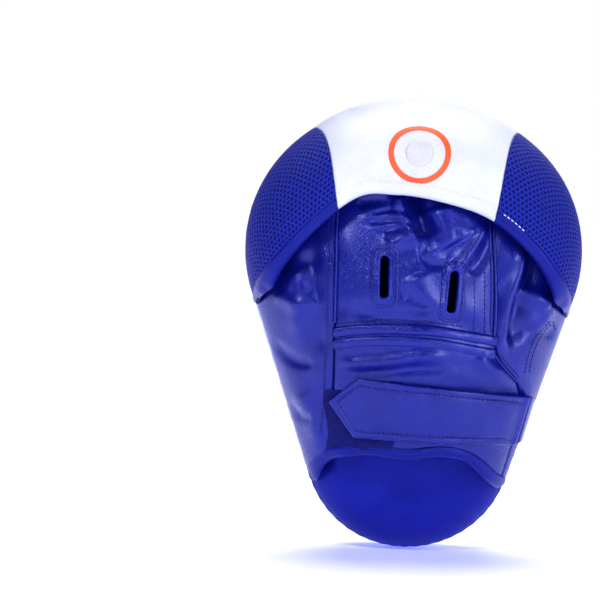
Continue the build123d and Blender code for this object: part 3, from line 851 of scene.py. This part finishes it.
def hood_profile(angle, share, depth=0.0):
    """Point of the hood: share 0 at the pad's edge to 1 at the rim, moved inwards by depth."""
    outside, gap = polar_reach(UPPER_PEAR, angle), hood_gap(angle)

    def place(share):
        inset = gap * (1 - np.cos(share * math.pi / 2))
        t = np.clip(inset / HOOD_SHOULDER, 0, 1)
        rise = HOOD_HEIGHT * (1 - (1 - t) ** 2.3) ** 0.62
        dip = 0.9 * np.clip((inset - gap + 9) / 9, 0, 1) ** 2 * np.clip(gap / 20, 0, 1)
        rise = rise * np.sqrt(np.clip(gap / 8, 0, 1)) - dip
        radius = outside - inset - 0.3
        x, z = radius * np.cos(angle), RIM_CENTRE[1] + radius * np.sin(angle)
        y = back_y(z) * (1 - rise / HOOD_HEIGHT) - rise
        return radius, y, x, z

    radius, y, x, z = place(share)
    r1, y1, _, _ = place(np.clip(share - 0.01, 0, 1))
    r2, y2, _, _ = place(np.clip(share + 0.01, 0, 1))
    slope = np.stack([r2 - r1, y2 - y1], -1)
    slope /= np.maximum(np.linalg.norm(slope, axis=-1), 1e-9)[..., None]
    inwards = np.stack([slope[..., 1], -slope[..., 0]], -1)  # towards the hand
    radius = radius + inwards[..., 0] * depth
    y = y + inwards[..., 1] * depth
    return np.stack([radius * np.cos(angle), y, RIM_CENTRE[1] + radius * np.sin(angle)], -1)


def hood_thickness(angle, share):
    """Padding of the hood: full in its middle, thin at the pad's edge and at the tips."""
    gap = hood_gap(angle)
    inset = gap * (1 - np.cos(share * math.pi / 2))
    return 8.0 * np.clip(inset / 12, 0.12, 1) * np.clip(gap / 16, 0.15, 1)


def hood_loop(angle, skin=0.0, cover=0.0, rows=(60, 12, 40)):
    """Cross-section of the hood at each angle: over the outside, round the rim, back inside.

    skin moves the outside in by that much, and cover the inside out.
    """
    angle = np.asarray(angle)[:, None]
    out_share = np.linspace(0, 1, rows[0])[None]
    full = hood_thickness(angle, out_share)
    outer = hood_profile(angle, out_share, np.minimum(skin, full * 0.4))
    end_full = hood_thickness(angle, 1.0)
    radius = (end_full - skin - cover) / 2
    turn = np.linspace(0, math.pi, rows[1] + 2)[None, 1:-1]
    middle = hood_profile(angle, np.ones((1, 1)), skin + radius)
    top = hood_profile(angle, np.ones((1, 1)), skin * np.ones((1, 1)))
    up = top - middle
    out_of = np.stack([-np.cos(angle), np.zeros_like(angle), -np.sin(angle)], -1)
    roll = (middle + up * np.cos(turn)[..., None]
            + out_of * np.linalg.norm(up, axis=-1)[..., None] * np.sin(turn)[..., None])
    in_share = np.linspace(1, 0, rows[2])[None]
    inner = hood_profile(angle, in_share, hood_thickness(angle, in_share)
                         - np.minimum(cover, hood_thickness(angle, in_share) * 0.4))
    return outer, roll, inner


def seam_angle(share, side):
    """Angle of the seam between white and mesh, from the pad's edge (0) to the rim (1)."""
    bow = np.radians(69.6 + 2.2 * np.sin(math.pi * (1 - share) * 0.95))
    return bow if side > 0 else math.pi - bow


def panel_angles(low, high, shares, across):
    """Angle of every point of a hood panel between its two side seams."""
    return np.array([low(shares) * (1 - t) + high(shares) * t for t in across])


def hood_skin(name, low, high, columns, material, node, thick=1.5, swell=0.5):
    """One outer panel of the hood, turned round the rim. low and high give its side seams."""
    across = spread(1.0, 1.0 / columns, 1.2 / 110)
    angles = panel_angles(low, high, np.linspace(0, 1, 90), across)
    share = np.broadcast_to(np.linspace(0, 1, 90)[None], angles.shape)
    edge = np.minimum(across, 1 - across)[:, None] * 110
    drop = thick * (1 - rolled(edge, 1.4)) - swell * np.clip(edge / 10, 0, 1)
    outer = hood_profile(angles, share, drop)
    outer = outer + inflate(outer, 2.0, 0.8, grow=0.006)
    inner = hood_profile(angles, share, np.minimum(thick, hood_thickness(angles, share) * 0.6))
    return new_piece(name, shell_data(np.concatenate([outer, *rim_turn(angles[:, -1])], 1),
                                      np.concatenate([inner, *rim_turn(angles[:, -1], thick)], 1)),
                     material, [node])


def rim_turn(angles, depth=0.0):
    """The roll round the rim and the first rows inside it, moved into the padding by depth."""
    _, roll, inner = hood_loop(angles, depth, depth, rows=(4, 12, 40))
    return roll, inner[:, :5]


def mesh_skin(name, low, high, node):
    """Air-mesh side of the hood: every hole is a dimple between raised ribs."""
    reach = 150  # millimetres of mesh to one radian of angle
    across = np.linspace(0, 1, int(abs(high(0.5) - low(0.5)) * reach / 0.62))
    angles = panel_angles(low, high, np.linspace(0, 1, 170), across)
    share = np.broadcast_to(np.linspace(0, 1, 170)[None], angles.shape)
    base = hood_profile(angles, share, 0.0)
    from_edge = np.pad(np.cumsum(np.linalg.norm(np.diff(base, axis=1), axis=-1), 1), ((0, 0), (1, 0)))
    v = from_edge[:, -1:] - from_edge
    pitch, row_pitch = 3.1, 3.1 * 0.866
    row = np.round(v / row_pitch)
    u = angles * reach - (row % 2) * pitch / 2
    off_centre = np.hypot(u - np.round(u / pitch) * pitch, v - row * row_pitch)
    hole = np.clip(1.5 - off_centre / 0.74, 0, 1)
    full = hood_thickness(angles, share)
    drop = np.minimum(0.75, 0.28 * full) * hole * hole * (3 - 2 * hole)
    shell = shell_data(hood_profile(angles, share, drop),
                       hood_profile(angles, share, np.minimum(1.5, full * 0.4)))
    obj = new_piece(name, shell, AIR_MESH, [node])
    # the hole mask also goes to the material, which paints shade into the holes
    values = np.concatenate([hole.ravel(), np.zeros(hole.size)]).astype(np.float32)
    obj.data.attributes.new("hole", "FLOAT", "POINT").data.foreach_set("value", values)
    return obj


def hood_point(angle, back, lift=0.3):
    """Point on the hood's outside, back millimetres in from the rim."""
    angle = np.asarray(angle, float)
    share = np.arccos(np.clip(back / hood_gap(angle), 0, 1)) * 2 / math.pi
    return hood_profile(angle, share, -lift)


def make_hood():
    """Hood: white middle, two mesh sides, bindings, foam, lining and stitches."""
    right_tip, left_tip = (lambda share, tip=tip: tip + 0 * share for tip in (TIP_LOW, TIP_HIGH))
    right_seam, left_seam = (lambda share, side=side: seam_angle(share, side) for side in (1, -1))
    middle = hood_skin("hood_middle", right_seam, left_seam, 130, WHITE_LEATHER,
                       "hood_center_panel")
    for side, low, high in (("right", right_tip, right_seam), ("left", left_seam, left_tip)):
        mesh_skin(f"hood_net_{side}", low, high, f"hood_mesh_{side}")
    for side, low, high in (("right", TIP_LOW, seam_angle(1.0, 1)),
                            ("left", seam_angle(1.0, -1), TIP_HIGH)):
        angles = np.linspace(low, high, 160)
        backs = np.linspace(3.0, 0.0, 9)
        outer = [hood_point(angles, b, 0.15 + 0.75 * math.sin(math.pi * k / 8) ** 0.5)
                 for k, b in enumerate(backs)]
        under = [hood_point(angles, b, -0.5) for b in backs]
        shell = shell_data(np.concatenate([np.stack(outer, 1), *rim_turn(angles, -0.5)], 1),
                           np.concatenate([np.stack(under, 1), *rim_turn(angles, 0.6)], 1))
        new_piece(f"hood_band_{side}", shell, EDGE_LEATHER, [f"hood_binding_{side}"])
    angles = np.linspace(TIP_LOW, TIP_HIGH, 200)
    padding = tube_data(np.concatenate(hood_loop(angles, 1.9, 1.3), 1), wrap=False)
    new_piece("hood_padding", padding, FOAM, ["hood_foam"])
    new_piece("hood_inside", shell_data(hood_loop(angles)[2], hood_loop(angles, 0.0, 1.1)[2]),
              LINING, ["hood_lining"])
    start = seam_angle(1.0, 1)
    dashes = np.linspace(start - 0.015, start - 0.16, 60)
    white = [seam_line_thread(4.4),
             thread(hood_point, np.stack([dashes, 0 * dashes + 3.4], 1), 2.7, 1.8, 0.3, 0.75)]
    sewing("hood_white_stitches", white, WHITE_THREAD)


def on_mesh(x, z, tree, lift):
    """Points on the front of a mesh, lifted square to it, from their places seen from the front."""
    points = np.empty((*x.shape, 3))
    for place in np.ndindex(x.shape):
        start = Vector((x[place], -100.0, z[place])) * MM
        hit, normal, _, _ = tree.ray_cast(start, Vector((0, 1, 0)))
        points[place] = np.array(hit + normal * lift * MM) / MM
    return points


def hood_spine(middle_z, rise):
    """Heights on the hood's middle line, from the distances along the leather from one of them."""
    line = hood_profile(np.full(400, math.pi / 2), np.linspace(0, 1, 400))
    along, heights = distances(line), line[:, 2]
    start = np.interp(-middle_z, -heights, along)
    return np.interp(start - rise, along, heights)


def make_badge():
    """Plain round mark on the hood: an orange ring round a grey disc."""
    rise = np.linspace(-26, 26, 160)
    spine = hood_spine(236.5, rise)
    leather_mesh = bpy.data.objects["hood_middle"].data
    leather_tree = BVHTree.FromPolygons([v.co.copy() for v in leather_mesh.vertices],
                                        [list(face.vertices) for face in leather_mesh.polygons])
    for name, inside, outside, material in (("badge_ring", 14.8, 18.0, ORANGE_PRINT),
                                            ("badge_disc", 0.0, 8.0, GREY_PRINT)):
        x, height = round_grid(inside, outside, 8)
        z = np.interp(height, rise, spine)
        top, low = on_mesh(x, z, leather_tree, 0.4), on_mesh(x, z, leather_tree, -0.3)
        new_piece(name, disc_data(top, low, hole=inside > 0), material, ["hood_badge"])


def seam_line_thread(back):
    """Row of stitches along the rim of the white panel."""
    angles = np.linspace(seam_angle(1.0, 1) + 0.02, seam_angle(1.0, -1) - 0.02, 240)
    return thread(lambda a, b, lift: hood_point(a, b, lift + 0.45), np.stack(
        [angles, 0 * angles + back], 1), 2.6, 1.7, 0.22)


# ---------------------------------------------------------------- glove
KNUCKLE_LINE = [(-SIDE_X, 131.5), (-20, 134.6), (8, 134.4), (SIDE_X, 129.5)]
FINGER_LINES = (  # bottom, top, left, right
    KNUCKLE_LINE, [(-SIDE_X, 221), (SIDE_X, 221)], [(-SIDE_X, 131.5), (-SIDE_X, 221)],
    [(SIDE_X, 129.5), (46.4, 160), (44.4, 195), (43, 221)],
)
BACKHAND_LINES = (
    [(-SIDE_X, 58.5), (-42, 59.6), (-23, 62), (-2, 60), (15.5, 62), (28, 61), (37, 57), (48, 47.5),
     (54, 44)],
    KNUCKLE_LINE, [(-SIDE_X, 58.5), (-SIDE_X, 131.5)],
    [(54, 44), (60, 68), (64, 88), (61, 104), (50, 117), (SIDE_X, 129.5)],
)
UPPER_WELT = [(-SIDE_X, 131.5), (-30, 133.8), (-10, 134.9), (14, 134), (SIDE_X + 1, 129)]
LOWER_WELT = [(-SIDE_X, 124.5), (-30, 126.6), (-10, 127.6), (14, 126.6), (SIDE_X, 121.4)]
THUMB_BASE = [(46.5, 121), (53, 113), (60.9, 104.8)]
VENTS = (  # middle, frame width, tilt in degrees
    ((-18.2, 164.6), 16.3, 0.0),
    ((21.3, 156.9), 14.4, -4.0),
)
VENT_SIZE = (5.2, 24.5)
FRAME_LENGTH = 35.6
LIP = ((-0.15, -2.4), (-0.25, -0.2), (0.1, 0.55), (0.7, 0.8), (1.3, 0.55), (2.2, 0.35))
RAND = ((2.2, 0.45), (1.5, 0.3), (0.9, 0.5), (0.3, 0.35), (0.0, -0.2), (-0.05, -1.0))
CUFF_SHAPE = [(-0.6, 0.7), (0.9, 1.25), (2.6, 1.35), (4.3, 0.9), (4.9, 0.1), (4.6, -0.5),
              (0.9, -0.9), (0.4, -4.6), (-1.0, -5.0), (-1.9, -3.9), (-2.1, -1.8), (-1.6, -0.3)]


def outline(points, count=200):
    """A given line made smooth, or kept straight between two points."""
    points = np.asarray(points, float)
    return smooth_curve(points, count) if len(points) > 2 else even(points, count)


def stadium(middle, width, length, tilt, count, corner=None):
    """Closed rounded slot outline."""
    corner = width / 2 if corner is None else corner
    turns = np.linspace(0, 2 * math.pi, 400, endpoint=False)
    x = (width / 2 - corner) * np.sign(np.cos(turns)) + corner * np.cos(turns)
    z = (length / 2 - corner) * np.sign(np.sin(turns)) + corner * np.sin(turns)
    points = np.stack([x, z], 1)
    points = even(np.vstack([points, points[:1]]), count + 1)[:-1]
    turn = math.radians(tilt)
    rotated = np.stack([points[:, 0] * math.cos(turn) - points[:, 1] * math.sin(turn),
                        points[:, 0] * math.sin(turn) + points[:, 1] * math.cos(turn)], 1)
    return rotated + np.asarray(middle)


def cut_slots(target, cutters):
    """Cut the vent slots out of a panel."""
    for cutter in cutters:
        step = target.modifiers.new("slot", "BOOLEAN")
        step.operation = "DIFFERENCE"
        step.solver = "EXACT"
        step.object = cutter
    bake(target)


def cuff_z(x):
    """Height of the glove's lower edge at each x."""
    line = smooth_curve(CUFF_EDGE, 300)
    return np.interp(x, line[:, 0], line[:, 1])


def bake(target):
    """Apply a piece's modifiers to its mesh."""
    graph = bpy.context.evaluated_depsgraph_get()
    graph.update()
    made = bpy.data.meshes.new_from_object(target.evaluated_get(graph))
    old = target.data
    target.modifiers.clear()
    target.data = made
    made.name = target.name
    bpy.data.meshes.remove(old)


def vent_cutters():
    """Solids of the two vent slots."""
    cutters = []
    for k, (middle, _, tilt) in enumerate(VENTS):
        loop = stadium(middle, *VENT_SIZE, tilt, 64)
        verts = np.vstack([np.stack([loop[:, 0], 0 * loop[:, 0] + y, loop[:, 1]], 1)
                           for y in (-70, -20)])
        faces = [[c, 64 + c, 64 + (c + 1) % 64, (c + 1) % 64] for c in range(64)]
        faces += [list(range(64)), list(range(64, 128))[::-1]]
        cutters.append(mesh_object(f"slot_{k}", verts, faces))
    return cutters


def vent_rings():
    """Raised rounded frames round the vents: LIP out from the slot, then RAND in to the edge."""
    for (middle, width, tilt), node in zip(VENTS, ("vent_frame_left", "vent_frame_right")):
        rings = [(VENT_SIZE[0] + 2 * out, VENT_SIZE[1] + 2 * out, None, lift) for out, lift in LIP]
        rings += [(width - 2 * inset, FRAME_LENGTH - 2 * inset, 5.0 - inset * 0.4, lift)
                  for inset, lift in RAND]
        under = [(w, l, corner, min(lift, 0.3) - 1.55) for w, l, corner, lift in reversed(rings)]
        loops = []
        for w, l, corner, lift in rings + under:
            loop = stadium(middle, w, l, tilt, 160, corner)
            loops.append(glove_point(loop[:, 0], loop[:, 1], lift + 0.95))
        new_piece(node + "_leather", tube_data(np.array(loops)), GLOVE_LEATHER, [node])


def vent_stitches():
    """Stitch rows round the frames."""
    rows = []
    for middle, width, tilt in VENTS:
        loop = stadium(middle, width - 3.0, FRAME_LENGTH - 3.0, tilt, 160, 4.2)
        rows.append(thread(glove_point, np.vstack([loop, loop[:1]]), 2.1, 1.5, 0.38, 1.4))
    return rows


def side_panel(name, node, start_at, foot_z, sign, puff):
    """Panel from a line on the glove round its side to the pad.

    start_at gives the (x, z) where the panel starts for each share of its length, foot_z the lowest
    and the highest z of its foot on the pad.
    """
    across = spread(1.0, 1 / 52, 0.03)
    rows = []
    for u in spread(1.0, 1 / 95, 0.016):
        x0, z0 = start_at(u)
        start = math.asin(max(-1.0, min(1.0, x0 / float(arch_at(z0)[0]))))
        foot = (sign * math.radians(97), foot_z[0] + (foot_z[1] - foot_z[0]) * u)
        rows.append([start, z0] + (np.array(foot) - (start, z0)) * across[:, None])
    return leather_panel(name, node, np.array(rows), arch_point, puff, 12.0, 1.5)


def line_at(points):
    """Function that gives the point at a share of a smooth line."""
    line = smooth_curve(points, 400)
    return lambda u: line[int(round(u * 399))]


def ribbon(line, profile, surface):
    """Band along a line on a surface. profile lists (offset across, lift) round its section."""
    line = np.asarray(line, float)
    along = np.gradient(line, axis=0)
    along /= np.linalg.norm(along, axis=1)[:, None]
    across = np.stack([-along[:, 1], along[:, 0]], 1)
    loops = []
    for offset, lift in profile:
        at = line + across * offset
        loops.append(surface(at[:, 0], at[:, 1], lift))
    return tube_data(np.stack(loops, 1), wrap=False)


def rounded_section(width, height, under=-0.8, count=9):
    """Section of a soft flat band: rounded top corners, flat underneath."""
    top = []
    for t in np.linspace(0, math.pi, count):
        share = math.cos(t)
        top.append((width / 2 * math.copysign(abs(share) ** 0.7, share), height * math.sin(t) ** 0.6))
    return top + [(-width / 2, under), (width / 2, under)]


def make_glove():
    """Glove: leather panels over the back of the hand, welts, vents, lining and cuff."""
    cutters = vent_cutters()
    finger = leather_panel("finger_leather", "finger_panel",
                           coons(*map(outline, FINGER_LINES), step=0.9), glove_point, 0.9)
    cut_slots(finger, cutters)
    back = leather_panel("backhand_leather", "backhand_panel",
                         coons(*map(outline, BACKHAND_LINES), step=0.9), backhand_surface, 1.6)

    thumb_edge = line_at([(64, 90), (61.1, 104), (50.4, 117), (46.3, 129), (46.5, 160), (44.5, 195),
                          (43.1, 221)])
    wrist_edge = line_at([(54.1, 43), (60, 67), (64, 89)])
    little_edge = line_at([(-46.5, 57), (-46.2, 100), (-46.2, 160), (-46.2, 221)])
    thumb = side_panel("thumb_leather", "thumb_panel", thumb_edge, (84, 221), 1, 2.6)
    side_panel("wrist_side_leather", "wrist_side_panel", wrist_edge, (41, 85), 1, 1.2)
    little = side_panel("little_finger_leather", "little_finger_panel", little_edge, (42, 221), -1, 2.0)
    vent_rings()
    for name, line in (("upper", UPPER_WELT), ("lower", LOWER_WELT)):
        data = ribbon(smooth_curve(line, 160), rounded_section(6.2, 2.3), glove_point)
        new_piece(f"{name}_welt", data, GLOVE_LEATHER, [f"knuckle_welt_{name}"])
    seams = [ribbon(smooth_curve(line, 160), rounded_section(1.5, 1.35, -0.9, 7), glove_point)
             for line in (FINGER_LINES[3], [(-SIDE_X, 137), (-SIDE_X, 180), (-SIDE_X, 221)], THUMB_BASE,
                          [(44.2, 137), (44.0, 165), (42.3, 195), (41, 215)])]
    new_piece("seam_cords", join_data(seams), GLOVE_LEATHER)
    make_inside(cutters)
    remove(cutters)
    new_piece("cuff_binding", ribbon(smooth_curve(CUFF_EDGE, 220), CUFF_SHAPE, glove_point),
              EDGE_LEATHER, ["wrist_binding"])
    low, high = cad_box("palm_lining")
    share, z = np.meshgrid(np.linspace(-1, 1, 60), np.linspace(low[2] + 1, high[2] - 1, 90))
    x = share * (arch_at(z)[0] - 6.5)
    palm = shell_data(bend(x, z, -0.9 + 0.12 * np.sin(z * 1.7)), bend(x, z, 0.2))
    new_piece("palm_side_lining", palm, LINING, ["palm_lining"])
    glove_stitches()


def make_inside(cutters):
    """Lining of the glove, cut for the vents, and the padding over the back of the hand."""
    turn = np.radians(np.linspace(-93, 93, 150))
    for name, node, low, top, slot, material, depth, thick in (
            ("glove_inside", "glove_lining", 42.0, FINGER_TOP_Z, "lining", LINING, -3.9, 0.8),
            ("hand_padding", "backhand_foam", 44.0, KNUCKLE_Z, "foam", FOAM, -1.95, 1.8)):
        low_z = np.maximum(cuff_z(arch_at(50.0)[0] * np.sin(turn)), low)[None]
        z = low_z + 1.5 + (top - low_z - 1.5) * np.linspace(0, 1, 130)[:, None]
        layer = new_piece(name, shell_data(arch_point(turn[None], z, depth),
                                           arch_point(turn[None], z, depth - thick)),
                          material, [node])
        if node == "glove_lining":
            cut_slots(layer, cutters)


def backhand_surface(x, z, lift):
    """Glove surface that the closed strap presses flat: fully below z 100, not at all over z 112."""
    pressed = np.clip((112 - z) / 12, 0, 1)
    limit = 0.25  # height that a pressed crown keeps
    rise = np.where(lift > limit, limit + (lift - limit) * (1 - pressed), lift)
    return glove_point(x, z, rise, 1 - 0.85 * pressed)


def glove_stitches():
    """Seams and stitch rows of the glove."""
    rows = vent_stitches()
    for lines, *stitch in (
            ([[(33.5, 171), (34, 150), (34.6, 131.5)], [(39.5, 173), (40, 150), (40.8, 131)],
              [(44.6, 196), (44.9, 165), (44.6, 132)],
              [(25, 181), (28.5, 178.6), (31, 174.5), (31.5, 171)],
              [(29, 186), (33, 183.6), (36.5, 179), (37.6, 174.5)],
              [(-16, 197.6), (-4, 197.9), (3, 191.5)],
              [(-44, 136.6), (-20, 139.6), (8, 139.4), (30, 136.6)]], 120, 2.6, 1.9, 0.36, 1.0),
            ([[(-50.5, 70), (-50.2, 100), (-50.2, 150), (-50.2, 200)],
              [(77.0, 141.5), (72.5, 134.5), (68.2, 128.3), (65.5, 119), (64.2, 110)],
              [(78.4, 139.7), (74.2, 133), (70.4, 127), (67.8, 118), (66.6, 109)],
              [(78.6, 141.0), (80.4, 137.5), (81.6, 134)],
              [(48.8, 121.6), (55, 114), (62, 106.4)]], 120, 2.4, 1.75, 0.34, 2.7),
            ([[(-44, 134.7), (-20, 137.2), (8, 137.0), (40, 133.2)],
              [(-44, 121.4), (-20, 124.2), (8, 124.0), (40, 120.0)]], 160, 2.6, 1.8, 0.32, 0.75)):
        rows += [thread(glove_point, smooth_curve(line, stitch[0]), *stitch[1:]) for line in lines]
    sewing("glove_seam_stitches", rows, BLUE_THREAD)


# ---------------------------------------------------------------- closure
STRAP_TOP = [(-46.7, 91), (-31.4, 105.4), (10, 101.5), (66, 96.2)]
STRAP_LOW = [(-46.7, 91), (-32.4, 70.4), (10, 68.6), (58.6, 67.0)]
HINGE_X = (55.0, 63.5)


def strap_surface(x, z, lift):
    """Outside of the strap as it lies on the glove."""
    return glove_point(x, z, 4.5 + lift, 0.12)


def strap_flat():
    """Grid over the strap: along it from the blunt tip to the folded end."""
    top = np.vstack([even(np.array([(-46.4, 91.6), (-31.4, 105.4)], float), 80),
                     smooth_curve(STRAP_TOP[1:], 320)[1:]])
    low = np.vstack([even(np.array([(-46.4, 90.2), (-32.4, 70.4)], float), 80),
                     smooth_curve(STRAP_LOW[1:], 320)[1:]])
    along = spread(1.0, 1 / 130, 0.011)
    across = spread(1.0, 1 / 38, 0.05)
    t, b = points_at(even(top, 400), along), points_at(even(low, 400), along)
    return b[None] + (t - b)[None] * across[:, None, None]


def make_closure():
    """Strap with its hook patch, the loop panel under its tip and the anchor at the thumb side."""
    x, z = np.moveaxis(strap_flat(), -1, 0)
    gap = edge_gap(strap_surface(x, z, 0.0))
    seam = np.exp(-(((gap - 4.0) / 0.8) ** 2))
    wave = 0.25 * np.sin(x * 0.16 + 0.5) * np.sin(z * 0.12) + 0.12 * np.sin(x * 0.5)
    from_fold = x - 57.2 - (z - 67.0) * 0.253
    fold = 1.5 * np.exp(-((from_fold / 1.3) ** 2))
    crown = np.clip((gap - 4) / 9, 0, 1)
    lift = (-1.1 + 1.1 * rolled(gap, 1.4) - 0.32 * seam
            + (0.35 * crown + wave) * np.clip(gap / 4, 0, 1) + fold)
    strap = new_piece("wrist_strap", shell_data(strap_surface(x, z, lift), strap_surface(x, z, -2.1)),
                      GLOVE_LEATHER, ["strap"], None)
    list(hinge_span())
    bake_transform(strap)
    low, high = cad_box("strap_hook")
    x, z = np.meshgrid(np.linspace(max(low[0], -30.0), high[0] - 0.5, 70),
                       np.linspace(max(low[2], 74.0), min(high[2], 100.0), 40))
    tuft = 0.16 * np.sin(x * 2.4) * np.sin(z * 2.4)
    new_piece("hook_patch", shell_data(glove_point(x, z, 2.3, 0.12), glove_point(x, z, 1.75 + tuft, 0.12)),
              HOOK_PLASTIC, ["strap_hook"], "strap")
    x, z = np.meshgrid(spread(1.0, 1 / 130, 0.02) * 45.5 - 55.5, spread(1.0, 1 / 70, 0.02) * 35.5 + 62.5)
    pile = np.clip(0.1 * RANDOM.standard_normal(x.shape), -0.15, 0.15)
    edge = rolled(edge_gap(glove_point(x, z, 0.0)), 0.9)
    new_piece("loop_patch", shell_data(glove_point(x, z, 0.4 + 0.7 * edge + pile * edge, 0.12),
                                       glove_point(x, z, -0.6, 0.12)),
              LOOP_FABRIC, ["loop_panel"])
    sides = [even(np.array(ends, float), 50) for ends in (
        [(59.5, 67.3), (64.5, 68)], [(66.6, 96.2), (71, 94.4)],
        [(59.5, 67.3), (66.6, 96.2)], [(64.5, 68), (71, 94.4)])]
    leather_panel("strap_anchor_leather", "strap_anchor", coons(*sides, step=0.7, roll=0.9),
                  lambda px, pz, up: glove_point(px, pz, anchor_lift(px, pz) + up, 0.12), 0.3, 3.0, 1.2)
    row = thread(strap_surface, strap_seam(), 2.7, 1.95, 0.36, 0.0)
    stitches = sewing("strap_stitches", [row], BLUE_THREAD, None)
    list(hinge_span())
    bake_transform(stitches)


def anchor_lift(x, z):
    """Height of the anchor over the glove: the strap's beside the fold, the glove's at its foot."""
    past = np.clip((x - 59.5 - (z - 67.3) * 0.245) / 5.0, 0, 1)
    return 4.3 - 3.4 * past * past


def hinge_span():
    """Where the strap starts and stops following its hinge, in metres."""
    points = [glove_point(x, 81.5, 3.4, 0.0) for x in (HINGE_X[1], HINGE_X[0])]
    return [tuple(float(v) for v in p * MM) for p in points]


def strap_seam():
    """Line of the stitches 4 mm inside the strap's edge."""
    corner = np.array([(60.5, 92.8), (10, 97.6), (-30.0, 101.0), (-41.6, 91), (-30.4, 74.2), (10, 72.4),
                       (54.5, 71.2)], float)
    parts = [even(corner[k:k + 2], 60)[:-1] for k in range(len(corner) - 1)]
    return np.vstack(parts + [corner[-1:]])


# ---------------------------------------------------------------- studio
FLOOR_SIDE = 40000.0
CAMERA_DISTANCE = 1500.0
CAMERA_AIM = np.array((-66.5, -20.0, 149.2))
VIEW_WIDTH = 351.3353  # width of the picture at the aim


def make_studio():
    """White floor, white surroundings and soft lamps."""
    scene = bpy.context.scene
    scene.view_settings.view_transform = "Standard"
    world = bpy.data.worlds.new("studio")
    scene.world = world
    world.use_nodes = True
    tree = world.node_tree
    glow = tree.nodes["Background"]
    glow.inputs["Color"].default_value = (0.45, 0.5, 0.9, 1)
    glow.inputs["Strength"].default_value = 0.1
    shown = tree.nodes.new("ShaderNodeBackground")
    shown.inputs["Color"].default_value = (1, 1, 1, 1)
    ray = tree.nodes.new("ShaderNodeLightPath")
    mixer = tree.nodes.new("ShaderNodeMixShader")
    tree.links.new(ray.outputs["Is Camera Ray"], mixer.inputs[0])
    tree.links.new(glow.outputs[0], mixer.inputs[1])
    tree.links.new(shown.outputs[0], mixer.inputs[2])
    tree.links.new(mixer.outputs[0], tree.nodes["World Output"].inputs["Surface"])

    side = FLOOR_SIDE
    floor = mesh_object("floor", [(-side, -side, 0), (side, -side, 0), (side, side, 0), (-side, side, 0)],
                        [(0, 1, 2, 3)])
    paint = Shader("floor_paint", 0.6, 0.0)
    paint.main.inputs["Base Color"].default_value = (0.95, 0.95, 0.97, 1)
    paint.main.inputs["Emission Color"].default_value = (0.13, 0.17, 1.0, 1)
    paint.main.inputs["Emission Strength"].default_value = 0.66
    floor.data.materials.append(paint.material)

    def lamp(name, place, aim, size, power, colour=(1, 1, 1)):
        data = bpy.data.lights.new(name, "AREA")
        data.shape = "RECTANGLE"
        data.size, data.size_y = size
        data.energy = power
        data.color = colour
        obj = bpy.data.objects.new(name, data)
        scene.collection.objects.link(obj)
        obj.location = place
        obj.rotation_euler = (Vector(aim) - Vector(place)).to_track_quat("-Z", "Y").to_euler()

    lamp("key", (-0.6, -1.15, 1.15), (0, 0, 0.13), (0.28, 0.28), 12)
    lamp("fill", (0.9, -1.2, 0.5), (0, 0, 0.14), (0.3, 0.7), 12)
    lamp("low", (-0.5, -1.5, 0.15), (0, 0, 0.1), (0.9, 0.25), 1.2)
    lamp("rear", (0.3, 1.6, 0.8), (0, 0, 0.14), (1.0, 1.0), 6)
    sky = bpy.data.lights.new("sky", "SUN")
    sky.energy = 3.1
    sky.angle = math.radians(44)
    overhead = bpy.data.objects.new("sky", sky)
    scene.collection.objects.link(overhead)
    overhead.rotation_euler = (math.radians(-17), 0, 0)


def make_camera():
    """Long lens in front of the glove side; the mitt stands right of the middle and leans 1.5 degrees."""
    rise = math.radians(2.0)
    data = bpy.data.cameras.new("camera")
    data.sensor_width = 36
    data.lens = data.sensor_width * CAMERA_DISTANCE / VIEW_WIDTH
    obj = bpy.data.objects.new("camera", data)
    bpy.context.scene.collection.objects.link(obj)
    place = CAMERA_AIM + CAMERA_DISTANCE * np.array((0, -math.cos(rise), math.sin(rise)))
    look = Matrix.Rotation(math.radians(90) - rise, 4, "X")
    roll = Matrix.Rotation(math.radians(1.5), 4, "Z")
    obj.matrix_world = Matrix.Translation(Vector(place) * MM) @ look @ roll
    bpy.context.scene.camera = obj


make_studio()
make_camera()
make_pad()
make_heel()
make_hood()
make_glove()
make_closure()
make_badge()
for foam_node in ("strike_foam", "shock_foam", "contour_foam"):
    for foam_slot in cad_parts[foam_node].material_slots:
        foam_slot.material = FOAM
